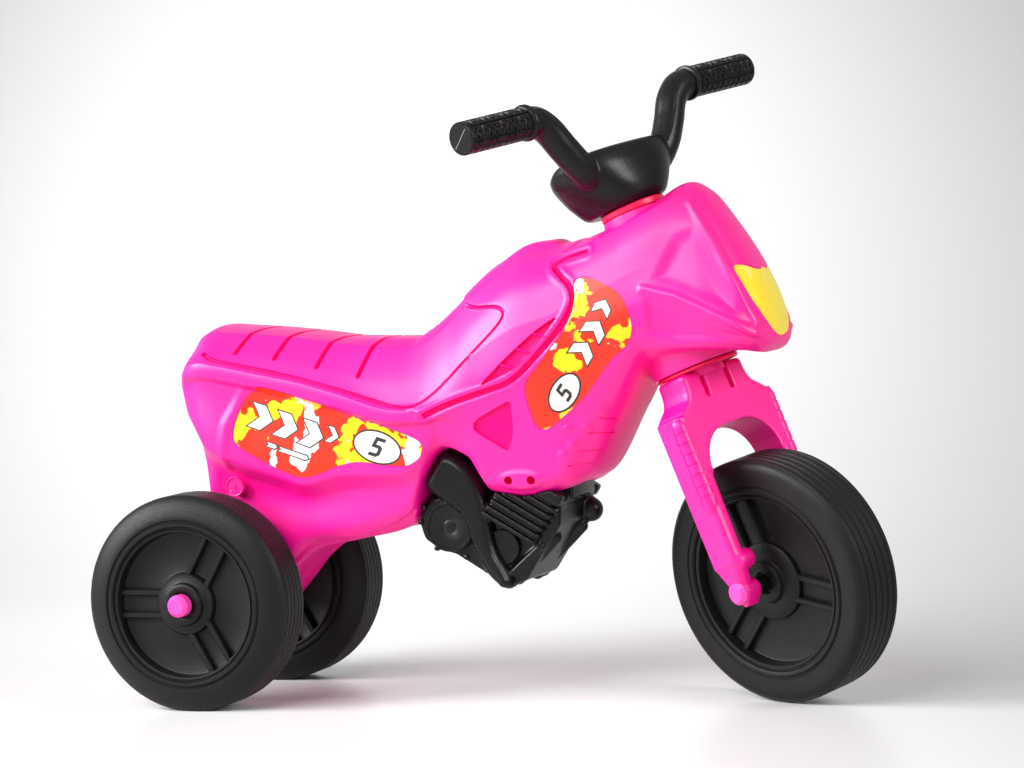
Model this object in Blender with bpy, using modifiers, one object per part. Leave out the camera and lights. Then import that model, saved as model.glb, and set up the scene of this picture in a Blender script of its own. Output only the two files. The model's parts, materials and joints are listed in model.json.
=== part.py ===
"""Three-wheeled foot-to-floor ride-on bike: blow-moulded body, engine, fork, bar and wheels.

Sizes below are in millimetres and MM turns them into metres. The toy's own axes are +X forward,
+Y to its left and +Z up, with x = 0 at the rear axle, y = 0 on the toy's middle plane and z = 0
on the floor. The steered parts have axes of their own: u forward, v to the left and s up along
the steering axis, from the middle of the front wheel.
"""

import math

import bmesh
import bpy
from mathutils import Matrix, Vector

MM = 0.001

# Driving dimensions
WHEELBASE = 495.0
RAKE = math.radians(20.9)
STEER = math.radians(-24.6)
REAR_WHEEL_RADIUS = 92.4
REAR_TREAD_WIDTH = 37.0
REAR_RING_RADIUS = 69.4
REAR_RING_HEIGHT = 9.3
REAR_WHEEL_SPACING = 166.5
FRONT_WHEEL_RADIUS = 102.5
FRONT_TREAD_WIDTH = 41.5
FRONT_RING_RADIUS = 78.9
FRONT_RING_HEIGHT = 4.7
AXLE_RADIUS = 5.0
STEM_RADIUS = 21.0
GRIP_RISE = 84.9
GRIP_FORWARD = 19.5
BAR_HALF_WIDTH = 173.8
BODY_HALF_WIDTH = 66.0
BODY_WALL = 3.0

# Clearances
TOUCH_GAP = 0.3
RUNNING_GAP = 0.4
SLIDE_GAP = 0.5
BUSH_ROOM = 1.0

# How far cutting tools run past the faces that they cut, along the toy and out to its sides
CUT_REACH = 45.0
SIDE_REACH = 90.0

# Wheels
WHEEL_SEGMENTS = 28
WHEEL_WALL = 3.0
HUB_RING_RADIUS = 17.5
REAR_HUB_RADIUS = 26.0
FRONT_HUB_RADIUS = 32.0
HUB_STEP = 5.0
DISC_DEPTH = 12.0
HUB_LAND = 9.0
RIM_LIP = 6.5
RIB_WIDTH = 5.0
RIB_SPACING = 19.5
RIB_DEPTH = 6.0
RIB_PAIRS = 3
RIB_START = math.radians(60.0)

# Axles, spacers and caps
CAP_RADIUS = 9.5
CAP_LENGTH = 11.0
CAP_SHOULDER = 3.0
CAP_WALL = 3.0
SPACER_RADIUS = 9.0
AXLE_BOSS_RADIUS = 20.0
BODY_LEG_HALF_WIDTH = 47.0
AXLE_SEAT_INNER = 36.0

# Neck of the body and bushes, along the steering axis
NECK_RADIUS = 28.0
NECK_STAND = 2.5
NECK_LENGTH = 70.0
LOWER_NECK_RADIUS = 38.0
LOWER_NECK_LENGTH = 40.0
BUSH_WALL = 2.6
BUSH_FLANGE = 6.0
LOWER_FLANGE = 3.5
BUSH_SLEEVE = 20.0
CROWN_TOP = 181.0

# Fork
LEG_OUTER = 60.0
LEG_INNER = 43.0
LEG_REAR = -17.0
LEG_FRONT = 15.0
LEG_FOOT = 23.0
SHOULDER_CORNER = 147.0
SHOULDER_TOP = 159.0
CROWN_HALF_WIDTH = 37.0
SHOULDER_HALF_WIDTH = 41.0
ARCH_TOP = 132.0
ARCH_CORNER = 20.0
LEG_ROUND = 5.0
AXLE_LUG_RADIUS = 9.0
AXLE_LUG_INNER = 36.0
AXLE_LUG_OUTER = 54.0
AXLE_LUG_KEEL = 13.0
NUB_RADIUS = 8.8
NUB_FORWARD = 4.5
NUB_HEIGHT = 24.7
CROWN_SLOT_WIDTH = 5.0
CROWN_SLOT_SPACING = 30.0
CROWN_SLOT_DEPTH = 5.0
CROWN_SLOT_BOTTOM = 158.0
STEM_REACH = 33.4
STEM_WALL = 4.0
STEM_FOOT = CROWN_TOP - 20.0
STEM_BORE_FLOOR = CROWN_TOP - 6.0

# Handlebar
BAR_TUBE_RADIUS = 12.8
BAR_WALL = 3.0
GRIP_RADIUS = 13.6
GRIP_LENGTH = 72.0
FLANGE_RADIUS = 15.2
FLANGE_WIDTH = 5.0
BAR_JOIN = 20.9
BAR_BOLT_RISE = 21.4
BAR_BOLT_RADIUS = 3.0
BAR_BOLT_HEAD = 6.5
BAR_BOLT_HEAD_HEIGHT = 4.0
BAR_BOLT_LENGTH = 70.0
BAR_BOLT_SEAT_DEPTH = 1.5
BAR_TUBE_END_INSET = 8.0
BAR_HOLLOW_END_INSET = 12.0

# Engine and its screws
ENGINE_HALF_WIDTH = 38.0
GUARD_HALF_WIDTH = 51.0
FIN_HALF_WIDTH = 50.0
FIN_COUNT = 7
FIN_PITCH = 7.0
FIN_THICKNESS = 3.6
FIN_LENGTH = 50.0
FIN_TILT = math.radians(30.0)
FIN_OVERHANG = 4.0
LUG_HALF_WIDTH = 29.0
ENGINE_WALL = 4.0
CRANK_CAVITY_SHARE = 0.84
BLOW_HOLE_PLACE = (245.0, 221.0)
BLOW_HOLE_RADIUS = 4.0
BLOW_HOLE_REACH = 15.0
PIPE_RADIUS = 6.0
PIPE_SIDE = 24.0
SCREW_PLACES = ((280.0, 193.0), (300.0, 193.0))
SCREW_RADIUS = 2.0
SCREW_HEAD_RADIUS = 4.0
SCREW_HEAD_HEIGHT = 3.0
SCREW_SEAT = 44.0
SCREW_TIP = 18.0
SCREW_POCKET_RADIUS = 5.2

# Seat grooves: x of each where it crosses the crown's edge, and how far it bends ahead of that on
# the middle plane and behind it on the slope
SEAT_GROOVES = (42.0, 78.0, 117.0, 155.0)
GROOVE_WIDTH = 4.0
GROOVE_DEPTH = 2.5
GROOVE_LEAD = 8.0
GROOVE_SWEEP = 12.0
GROOVE_CREASE = 38.0
GROOVE_END = 56.0
GROOVE_CUTTER_HEIGHT = 12.0

# Films stand off the skin, and each is cut from a block on one side or over the nose
FILM_GAP = 0.3
FILM_THICKNESS = 0.5
FILM_BLOCK_START = 40.0
HEADLIGHT_BLOCK = (460.0, 530.0)

# Half sections of the body at stations along X. Each row is x and then y, z of the spine, the
# crown's middle and edge, the shoulder, the pad's edge, the rim's top and bottom, the panel's top
# and bottom, the waist, the skirt, the keel's edge and the keel.
BODY_SECTIONS = (
    (-39.0, (0, 271), (8, 270.5), (13, 269.5), (17, 268), (19, 267), (20, 266), (20, 262), (19.5, 260),
     (18.5, 257), (17, 255), (15, 253), (10, 252), (0, 251.5)),
    (-35.5, (0, 284), (12, 283), (18, 281), (24, 277.5), (27.5, 274), (29, 271.5), (29, 262), (28, 258.5),
     (27, 247), (25, 240), (22, 236), (14, 234), (0, 233.5)),
    (-31.5, (0, 293), (15, 292), (24, 289.5), (33, 284), (37.5, 279.5), (39.5, 276.5), (39.5, 267),
     (38, 263.5), (37, 242), (34, 233), (29, 227), (19, 224), (0, 223.5)),
    (-26.0, (0, 303), (18, 301.5), (30, 298.5), (43, 291), (50, 285.5), (53, 282), (53, 273), (51, 269),
     (50, 238), (45, 226), (39, 217), (27, 212.5), (0, 212)),
    (-18.0, (0, 313), (22, 311), (35, 307.5), (50, 297.5), (58.5, 291), (62.5, 287.5), (62.5, 277.5),
     (59, 273.5), (57.5, 233), (49.5, 219), (43, 204), (31, 193), (0, 192)),
    (-8.0, (0, 321), (24, 319), (38, 315), (54, 303), (63, 295), (68, 291), (68, 281), (64, 277),
     (63, 228), (52, 212), (46, 190), (34, 172), (0, 170)),
    (6.0, (0, 323), (24, 321), (38, 317.5), (55, 306), (65, 297), (70, 293), (70, 282), (66, 278),
     (64, 222), (50, 206), (47, 110), (40, 86), (0, 84)),
    (20.0, (0, 322), (24, 320), (38, 317), (56, 304), (66, 294), (71, 291), (71, 280), (67, 276),
     (65, 213), (50, 200), (47, 86), (40, 70), (0, 70)),
    (55.0, (0, 319), (24, 317.5), (38, 314.5), (56, 299), (66, 287), (71, 284), (71, 273), (66, 269),
     (64, 200), (50, 188), (47, 86), (40, 71), (0, 71)),
    (95.0, (0, 314.5), (24, 313), (38, 310), (56, 292), (66, 279), (71, 276), (71, 264), (66, 260),
     (64, 188), (50, 176), (48, 126), (40, 108), (0, 108)),
    (130.0, (0, 310), (24, 308.5), (38, 305), (56, 284), (66, 270), (71, 266), (71, 255), (65, 251),
     (63, 196), (51, 182), (49, 150), (42, 135), (0, 135)),
    (188.0, (0, 308.5), (22, 307), (38, 300), (56, 275), (66, 255), (71, 250), (71, 241), (65, 237),
     (62, 196), (53, 182), (50, 164), (43, 152), (0, 151)),
    (206.0, (0, 320), (20, 317), (37, 307), (54, 280), (65, 256), (70, 249), (70, 241), (65, 237),
     (61, 204), (57, 199), (53, 196), (44, 193), (0, 192)),
    (221.0, (0, 333), (19, 329), (35, 317), (52, 290), (64, 264), (68, 252), (68, 244), (64, 239),
     (61, 230), (58, 224), (54, 219), (45, 217), (0, 217)),
    (243.0, (0, 353), (18, 349), (33, 338), (50, 312), (62, 286), (67, 262), (67, 250), (63, 238),
     (60, 226), (57, 217), (54, 211), (46, 208), (0, 208)),
    (260.0, (0, 366), (17, 362), (32, 350), (50, 326), (62, 297), (66, 272), (66, 256), (62, 235),
     (59, 214), (57, 198), (54, 188), (47, 182), (0, 182)),
    (290.0, (0, 378), (17, 375), (31, 367), (50, 345), (62, 315), (66, 288), (65, 266), (61, 238),
     (58, 214), (56, 198), (54, 186), (48, 178), (0, 177)),
    (325.0, (0, 382), (17, 380), (31, 374), (49, 355), (60, 326), (64, 298), (63, 274), (59, 244),
     (56, 220), (55, 203), (53, 193), (46, 185), (0, 184)),
    (346.0, (0, 388), (17, 387), (32, 382), (47, 364), (57, 338), (62, 308), (61, 283), (57, 258),
     (54, 240), (53, 231), (51, 224), (36, 198), (0, 190)),
    (376.0, (0, 400), (18, 399), (34, 394), (46, 377), (56, 350), (61, 322), (60, 299), (56, 281),
     (53, 272), (51, 267), (49, 262), (34, 247), (0, 239)),
    (403.0, (0, 414), (18, 413), (34, 407), (44, 391), (53, 362), (59, 334), (58, 314), (55, 303),
     (53, 299), (52, 297), (50, 295), (38, 288), (0, 285)),
    (431.0, (0, 429), (14, 427), (27, 418), (38, 400), (49, 366), (58, 338), (57, 322), (54, 308),
     (53, 303), (52, 299), (50, 296), (40, 292), (0, 291)),
    (446.0, (0, 422), (20, 417), (36, 402), (43, 386), (50, 360), (58, 331), (57, 318), (54, 307),
     (53, 302), (52, 299), (50, 296), (40, 293), (0, 292)),
    (462.0, (0, 402), (23, 396), (42, 377), (46, 364), (51, 346), (58, 323), (56, 312), (53, 304),
     (52, 300), (50, 297), (48, 295), (38, 293), (0, 292)),
    (480.0, (0, 374), (26, 367), (47, 345), (49, 337), (52, 328), (57, 315), (54, 307), (50, 301),
     (48, 298), (46, 296), (44, 294), (34, 292), (0, 291)),
    (494.0, (0, 347), (24, 341), (42, 319), (46, 312), (49, 309), (51, 306), (49, 303), (46, 299),
     (43, 296), (40, 294), (37, 292), (28, 290), (0, 289)),
    (500.0, (0, 331), (18, 327), (30, 316), (34, 311), (36, 307), (37, 304), (36, 301), (34, 299),
     (32, 297), (30, 296), (27, 295), (20, 294), (0, 293)),
    (503.5, (0, 318), (8, 316), (13, 312), (15, 310), (16, 308), (16, 306), (15, 304), (14, 303),
     (13, 302), (12, 301), (10, 300), (7, 299.4), (0, 299)),
)
# The sizes at which the tables of the body, the films and the engine are drawn
DRAWN = {"wheelbase": 495.0, "half_width": 66.0, "rear_radius": 92.4}
# The stretch of the seat that takes up a change of wheelbase
STRETCH_FROM = 60.0
STRETCH_TO = 200.0

# Side outlines of the films, from the rear axle and the floor, and the headlight's front outline
SIDE_DECAL = ((34, 227), (42, 219), (66, 206), (93, 194), (109, 196), (128, 204), (148, 208), (175, 204),
              (192, 203), (203, 209), (207, 218), (203, 226), (135, 250), (65, 273), (54, 268), (44, 257),
              (36, 240))
TANK_DECAL = ((310, 225), (350, 257), (373, 287), (392, 302), (395, 318), (386, 342), (358, 356), (343, 354),
              (346, 335), (338, 315), (317, 288), (299, 268))
HEADLIGHT_OUTLINE = ((0, 305), (20, 316), (30, 344), (26, 352), (14, 352), (0, 346), (-14, 352), (-26, 352),
                     (-30, 344), (-20, 316))


def start_scene():
    """Empty the scene and make the collections for the toy and for its cutters."""
    for obj in list(bpy.data.objects):
        bpy.data.objects.remove(obj, do_unlink=True)
    toy = bpy.data.collections.new("ride_on_bike")
    cutters = bpy.data.collections.new("cutters")
    for collection in (toy, cutters):
        bpy.context.scene.collection.children.link(collection)
    return toy, cutters


TOY, CUTTERS = start_scene()


def make_material(name, colour, roughness, metallic=0.0):
    """A Principled material with the part's colour and finish."""
    material = bpy.data.materials.new(name)
    material.use_nodes = True
    shader = material.node_tree.nodes["Principled BSDF"]
    shader.inputs["Base Color"].default_value = (*colour, 1.0)
    shader.inputs["Roughness"].default_value = roughness
    shader.inputs["Metallic"].default_value = metallic
    material.diffuse_color = (*colour, 1.0)
    return material


PINK = make_material("pink_plastic", (1.0, 0.0, 0.32), 0.35)
RED_PINK = make_material("red_pink_plastic", (0.86, 0.0, 0.14), 0.4)
BLACK = make_material("black_plastic", (0.02, 0.02, 0.022), 0.45)
STEEL = make_material("zinc_steel", (0.62, 0.62, 0.6), 0.3, 1.0)
ORANGE_FILM = make_material("orange_film", (0.95, 0.12, 0.02), 0.3)
YELLOW_FILM = make_material("yellow_film", (1.0, 0.78, 0.02), 0.3)


def facet_height(radius):
    """Height of a turned wheel's middle when it stands on the flat of one facet."""
    return radius * math.cos(math.pi / WHEEL_SEGMENTS)


def steering_rotation(steer):
    """Rotation from the steered axes u, v, s to the toy's axes."""
    return Matrix.Rotation(-RAKE, 4, "Y") @ Matrix.Rotation(steer, 4, "Z")


def wheel_angles():
    """Angles of the front wheel's profile copies about its axle, with a facet underneath."""
    step = 2.0 * math.pi / WHEEL_SEGMENTS
    return [step * (index + 0.5) for index in range(WHEEL_SEGMENTS)]


def lowest_reach():
    """How far the turned and raked front wheel reaches below its middle."""
    rotation = steering_rotation(STEER)
    reach = 0.0
    for angle in wheel_angles():
        for side in (-1.0, 1.0):
            corner = Vector((FRONT_WHEEL_RADIUS * math.cos(angle), side * FRONT_TREAD_WIDTH / 2.0,
                             FRONT_WHEEL_RADIUS * math.sin(angle)))
            reach = max(reach, -(rotation @ corner).z)
    return reach


def front_reach():
    """How far the turned front wheel reaches ahead of its middle."""
    rotation = steering_rotation(STEER)
    reach = 0.0
    for angle in wheel_angles():
        for side in (-1.0, 1.0):
            corner = Vector((FRONT_WHEEL_RADIUS * math.cos(angle), side * FRONT_TREAD_WIDTH / 2.0,
                             FRONT_WHEEL_RADIUS * math.sin(angle)))
            reach = max(reach, (rotation @ corner).x)
    return reach


REAR_AXLE_HEIGHT = facet_height(REAR_WHEEL_RADIUS)
FRONT_AXLE_HEIGHT = lowest_reach()
FRONT_END = WHEELBASE + front_reach()
REAR_END = -REAR_WHEEL_RADIUS
BAR_SHIFT = GRIP_FORWARD * math.sin(STEER)


def add_empty(name, matrix, parent=None):
    """An empty that carries a group of parts."""
    empty = bpy.data.objects.new(name, None)
    empty.empty_display_size = 0.03
    TOY.objects.link(empty)
    empty.parent = parent
    empty.matrix_local = matrix
    return empty


def shift(x, y, z):
    """Translation by a distance in millimetres."""
    return Matrix.Translation(Vector((x, y, z)) * MM)


# The origin is under the middle of the overall box, so the turned bar moves it off the middle plane
ORIGIN = add_empty("toy_origin", shift(-(FRONT_END + REAR_END) / 2.0, -BAR_SHIFT, 0.0))
REAR_AXLE_LINE = add_empty("rear_axle_line", shift(0.0, 0.0, REAR_AXLE_HEIGHT), ORIGIN)
STEERING = add_empty("steering_axis",
                     shift(WHEELBASE, 0.0, FRONT_AXLE_HEIGHT) @ steering_rotation(STEER), ORIGIN)


def link(name, mesh, parent, material, collection=None):
    """Put a mesh in the scene under its parent, with its material."""
    obj = bpy.data.objects.new(name, mesh)
    (collection or TOY).objects.link(obj)
    obj.parent = parent
    if material is not None:
        mesh.materials.append(material)
    return obj


def as_tool(obj):
    """Turn an object into a cutter that is only drawn as wire."""
    for collection in list(obj.users_collection):
        collection.objects.unlink(obj)
    CUTTERS.objects.link(obj)
    obj.hide_render = True
    obj.display_type = "WIRE"


def boolean(target, tool, operation):
    """Cut a tool out of the target or join it on."""
    modifier = target.modifiers.new(operation.lower() + "_" + tool.name, "BOOLEAN")
    modifier.operation = operation
    modifier.solver = "EXACT"
    modifier.object = tool
    as_tool(tool)


def cut(target, tool):
    boolean(target, tool, "DIFFERENCE")


def join(target, tool):
    boolean(target, tool, "UNION")


def mesh_of(name, build):
    """A mesh filled by a function that works on a bmesh in millimetres."""
    bm = bmesh.new()
    build(bm)
    bmesh.ops.scale(bm, vec=(MM, MM, MM), verts=bm.verts)
    bmesh.ops.recalc_face_normals(bm, faces=bm.faces)
    mesh = bpy.data.meshes.new(name)
    bm.to_mesh(mesh)
    bm.free()
    return mesh


def box(name, low, high, parent, material=None, tilt=None):
    """A box between two corners, turned by a matrix about its own middle if one is given."""
    low = Vector(low)
    high = Vector(high)
    matrix = Matrix.Translation((low + high) / 2.0)
    if tilt is not None:
        matrix = matrix @ tilt
    matrix = matrix @ Matrix.Diagonal((*(high - low), 1.0))

    def build(bm):
        bmesh.ops.create_cube(bm, size=1.0, matrix=matrix)
    return link(name, mesh_of(name, build), parent, material)


def rod(name, start, end, radius, parent, material=None, segments=24, end_radius=None):
    """A cylinder or a cone between two points."""
    start = Vector(start)
    end = Vector(end)
    direction = end - start
    turn = Vector((0.0, 0.0, 1.0)).rotation_difference(direction.normalized()).to_matrix().to_4x4()
    matrix = Matrix.Translation((start + end) / 2.0) @ turn
    top = radius if end_radius is None else end_radius

    def build(bm):
        bmesh.ops.create_cone(bm, cap_ends=True, segments=segments, radius1=radius, radius2=top,
                              depth=direction.length, matrix=matrix)
    return link(name, mesh_of(name, build), parent, material)


def prism(name, outline, low, high, plane, parent, material=None):
    """A flat outline pulled out along the axis that its plane leaves, from low to high."""
    def place(first, second, depth):
        if plane == "XZ":
            return Vector((first, depth, second))
        return Vector((depth, first, second))

    def build(bm):
        verts = [bm.verts.new(place(first, second, low)) for first, second in outline]
        face = bm.faces.new(verts)
        pulled = bmesh.ops.extrude_face_region(bm, geom=[face])
        moved = [item for item in pulled["geom"] if isinstance(item, bmesh.types.BMVert)]
        bmesh.ops.translate(bm, vec=place(0.0, 0.0, high - low), verts=moved)
    return link(name, mesh_of(name, build), parent, material)


def turned(name, profile, parent, material, segments, phase=0.0):
    """A closed profile of radius and height turned about the Y axis of its parent."""
    mesh = bpy.data.meshes.new(name)
    points = [(radius * MM, 0.0, height * MM) for radius, height in profile]
    edges = [(index, (index + 1) % len(points)) for index in range(len(points))]
    mesh.from_pydata(points, edges, [])
    obj = link(name, mesh, parent, material)
    obj.matrix_local = Matrix.Rotation(phase, 4, "Y") @ Matrix.Rotation(-math.pi / 2.0, 4, "X")
    screw = obj.modifiers.new("turn", "SCREW")
    screw.axis = "Z"
    screw.steps = segments
    screw.render_steps = segments
    screw.use_merge_vertices = True
    screw.merge_threshold = 0.00001
    screw.use_smooth_shade = False
    return obj


def tube(name, points, radius, parent, resolution=3):
    """A tube along a list of points, as a closed mesh."""
    curve = bpy.data.curves.new(name + "_path", "CURVE")
    curve.dimensions = "3D"
    curve.bevel_depth = radius * MM
    curve.bevel_resolution = resolution
    curve.use_fill_caps = True
    spline = curve.splines.new("POLY")
    spline.points.add(len(points) - 1)
    for point, place in zip(spline.points, points):
        point.co = (*(Vector(place) * MM), 1.0)
    path = bpy.data.objects.new(name + "_path", curve)
    TOY.objects.link(path)
    bpy.context.view_layer.update()
    mesh = bpy.data.meshes.new_from_object(path.evaluated_get(bpy.context.evaluated_depsgraph_get()))
    bpy.data.objects.remove(path, do_unlink=True)
    bm = bmesh.new()
    bm.from_mesh(mesh)
    bmesh.ops.remove_doubles(bm, verts=bm.verts, dist=0.00001)
    bmesh.ops.recalc_face_normals(bm, faces=bm.faces)
    bm.to_mesh(mesh)
    bm.free()
    mesh.materials.clear()
    return link(name, mesh, parent, None)


def body_point(x, y, z):
    """Place a drawn point of the body for the wheelbase, width and wheel size in use."""
    along = min(max((x - STRETCH_FROM) / (STRETCH_TO - STRETCH_FROM), 0.0), 1.0)
    return Vector((x + along * (WHEELBASE - DRAWN["wheelbase"]), y * BODY_HALF_WIDTH / DRAWN["half_width"],
                   z + REAR_WHEEL_RADIUS - DRAWN["rear_radius"]))


def body_rings(sections):
    """Whole rings of the body's surface, one for each station, from its half sections."""
    rings = []
    for section in sections:
        x = section[0]
        half = section[1:]
        left = [body_point(x, y, z) for y, z in half]
        right = [body_point(x, -y, z) for y, z in reversed(half[1:-1])]
        rings.append(left + right)
    return rings


def loft(name, rings, parent, material=None):
    """A closed skin through a row of rings with a flat cap at each end."""
    def build(bm):
        rows = [[bm.verts.new(point) for point in ring] for ring in rings]
        for low, high in zip(rows, rows[1:]):
            count = len(low)
            for index in range(count):
                after = (index + 1) % count
                bm.faces.new((low[index], high[index], high[after], low[after]))
        bm.faces.new(rows[0])
        bm.faces.new(rows[-1])
        bmesh.ops.triangulate(bm, faces=bm.faces)
    return link(name, mesh_of(name, build), parent, material)


def offset_rings(distance):
    """The body's rings moved outwards along the skin's normals, and its two ends with them."""
    outer = body_rings(BODY_SECTIONS)
    skin = mesh_of("body_measure", lambda bm: fill_rings(bm, outer))
    count = len(outer[0])
    rings = []
    for station in range(len(outer)):
        ring = []
        for index in range(count):
            vertex = skin.vertices[station * count + index]
            ring.append(vertex.co / MM + vertex.normal * distance)
        rings.append(ring)
    bpy.data.meshes.remove(skin)
    for ring, way in ((rings[0], -1.0), (rings[-1], 1.0)):
        for point in ring:
            point.x += way * distance
    return rings


def fill_rings(bm, rings):
    """The open skin through a row of rings."""
    rows = [[bm.verts.new(point) for point in ring] for ring in rings]
    for low, high in zip(rows, rows[1:]):
        for index in range(len(low)):
            after = (index + 1) % len(low)
            bm.faces.new((low[index], high[index], high[after], low[after]))


def steer_rod(name, low, high, radius, parent=None, material=None, segments=28):
    """A cylinder along the steering axis between two heights."""
    return rod(name, (0.0, 0.0, low), (0.0, 0.0, high), radius, parent or STEERING, material, segments)


def section_height(x, rail):
    """Height of one rail of the body's drawn sections at a place along X."""
    for low, high in zip(BODY_SECTIONS, BODY_SECTIONS[1:]):
        if low[0] <= x <= high[0]:
            share = (x - low[0]) / (high[0] - low[0])
            z = low[1 + rail][1] * (1.0 - share) + high[1 + rail][1] * share
            return body_point(x, 0.0, z).z
    return body_point(x, 0.0, BODY_SECTIONS[-1][1 + rail][1]).z


def hood_on_axis():
    """Height along the steering axis at which it leaves the hood."""
    height = CROWN_TOP
    while True:
        x = WHEELBASE - height * math.sin(RAKE)
        z = FRONT_AXLE_HEIGHT + height * math.cos(RAKE)
        if z > section_height(x - WHEELBASE + DRAWN["wheelbase"], 0):
            return height
        height += 0.5


BUSH_BORE_RADIUS = STEM_RADIUS + RUNNING_GAP
BUSH_OUTER_RADIUS = BUSH_BORE_RADIUS + BUSH_WALL
NECK_BORE_RADIUS = BUSH_OUTER_RADIUS + TOUCH_GAP
LOWER_NECK_BOTTOM = CROWN_TOP + TOUCH_GAP + LOWER_FLANGE + TOUCH_GAP
NECK_TOP = hood_on_axis() + NECK_STAND
BAR_BOTTOM = NECK_TOP + TOUCH_GAP + BUSH_FLANGE + TOUCH_GAP
GRIP_HEIGHT = BAR_BOTTOM + GRIP_RISE
STEM_TOP = BAR_BOTTOM + STEM_REACH
BAR_BOLT_HEIGHT = BAR_BOTTOM + BAR_BOLT_RISE
ENGINE_SHIFT = WHEELBASE - DRAWN["wheelbase"]
ENGINE_LIFT = REAR_WHEEL_RADIUS - DRAWN["rear_radius"]
CHANNEL = ((228.0, 150.0), (228.0, 222.0), (328.0, 222.0), (328.0, 150.0))


def engine_outline(points):
    """Move a drawn outline of the engine with the body."""
    return [(x + ENGINE_SHIFT, z + ENGINE_LIFT) for x, z in points]


def grown(outline, distance):
    """A box outline with each corner moved away from its middle along both axes."""
    middle_x = sum(x for x, z in outline) / len(outline)
    middle_z = sum(z for x, z in outline) / len(outline)
    return [(x + math.copysign(distance, x - middle_x), z + math.copysign(distance, z - middle_z))
            for x, z in outline]


def shrunk(outline, share):
    """An outline drawn in towards its middle."""
    middle_x = sum(x for x, z in outline) / len(outline)
    middle_z = sum(z for x, z in outline) / len(outline)
    return [(middle_x + (x - middle_x) * share, middle_z + (z - middle_z) * share) for x, z in outline]


def screw_places():
    """Middle of each engine screw's head seat, with the side that it is on."""
    for side in (-1.0, 1.0):
        for x, z in engine_outline(SCREW_PLACES):
            yield side, x, z


def make_body():
    """The hollow one-piece body with its neck, axle boss, engine channel and fixing pockets."""
    body = loft("body_shell", body_rings(BODY_SECTIONS), ORIGIN, PINK)
    neck = steer_rod("neck_tube", NECK_TOP - NECK_LENGTH, NECK_TOP, NECK_RADIUS)
    join(body, neck)
    lower_neck = steer_rod("lower_neck", LOWER_NECK_BOTTOM, LOWER_NECK_BOTTOM + LOWER_NECK_LENGTH,
                           LOWER_NECK_RADIUS)
    join(body, lower_neck)
    height = REAR_AXLE_HEIGHT
    boss = rod("axle_boss", (0.0, -BODY_LEG_HALF_WIDTH, height), (0.0, BODY_LEG_HALF_WIDTH, height),
               AXLE_BOSS_RADIUS, ORIGIN)
    join(body, boss)
    for index, x in enumerate(SEAT_GROOVES):
        cut(body, seat_groove("seat_groove_%d" % index, x))
    core = loft("body_core", offset_rings(-BODY_WALL)[2:-3], ORIGIN)
    keep_walls(core)
    cut(body, core)
    channel = prism("engine_channel", engine_outline(CHANNEL), -LUG_HALF_WIDTH - SLIDE_GAP,
                    LUG_HALF_WIDTH + SLIDE_GAP, "XZ", ORIGIN)
    cut(body, channel)
    cut(body, steer_rod("neck_bore", LOWER_NECK_BOTTOM - CUT_REACH, NECK_TOP + CUT_REACH, NECK_BORE_RADIUS))
    cut(body, steer_rod("bush_room", NECK_TOP, NECK_TOP + CUT_REACH, NECK_RADIUS + BUSH_ROOM))
    cut(body, rod("axle_bore", (0.0, -SIDE_REACH, height), (0.0, SIDE_REACH, height),
                  AXLE_RADIUS + TOUCH_GAP, ORIGIN))
    for number, (side, x, z) in enumerate(screw_places()):
        pocket = rod("screw_pocket_%d" % number, (x, side * SCREW_SEAT, z),
                     (x, side * SIDE_REACH, z), SCREW_POCKET_RADIUS, ORIGIN, segments=16)
        cut(body, pocket)
        hole = rod("screw_hole_%d" % number, (x, side * SCREW_TIP, z), (x, side * SIDE_REACH, z),
                   SCREW_RADIUS + TOUCH_GAP, ORIGIN, segments=12)
        cut(body, hole)
    return body


def keep_walls(core):
    """Leave plastic round the channel, the neck, the axle and the screws when the core is cut."""
    wall = BODY_WALL
    channel = prism("channel_wall", grown(engine_outline(CHANNEL), wall),
                    -LUG_HALF_WIDTH - SLIDE_GAP - wall, LUG_HALF_WIDTH + SLIDE_GAP + wall, "XZ", ORIGIN)
    cut(core, channel)
    upper = steer_rod("upper_neck_wall", NECK_TOP - BUSH_SLEEVE - wall, NECK_TOP + CUT_REACH,
                      NECK_BORE_RADIUS + wall)
    cut(core, upper)
    lower = steer_rod("lower_neck_wall", LOWER_NECK_BOTTOM - CUT_REACH,
                      LOWER_NECK_BOTTOM + BUSH_SLEEVE + wall, NECK_BORE_RADIUS + wall)
    cut(core, lower)
    height = REAR_AXLE_HEIGHT
    for side in (-1.0, 1.0):
        seat = rod("axle_wall_%d" % side, (0.0, side * AXLE_SEAT_INNER, height),
                   (0.0, side * SIDE_REACH, height), AXLE_BOSS_RADIUS - wall, ORIGIN)
        cut(core, seat)
    for number, (side, x, z) in enumerate(screw_places()):
        pillar = rod("screw_wall_%d" % number, (x, side * LUG_HALF_WIDTH, z),
                     (x, side * SIDE_REACH, z), SCREW_POCKET_RADIUS + wall, ORIGIN, segments=16)
        cut(core, pillar)


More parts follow.
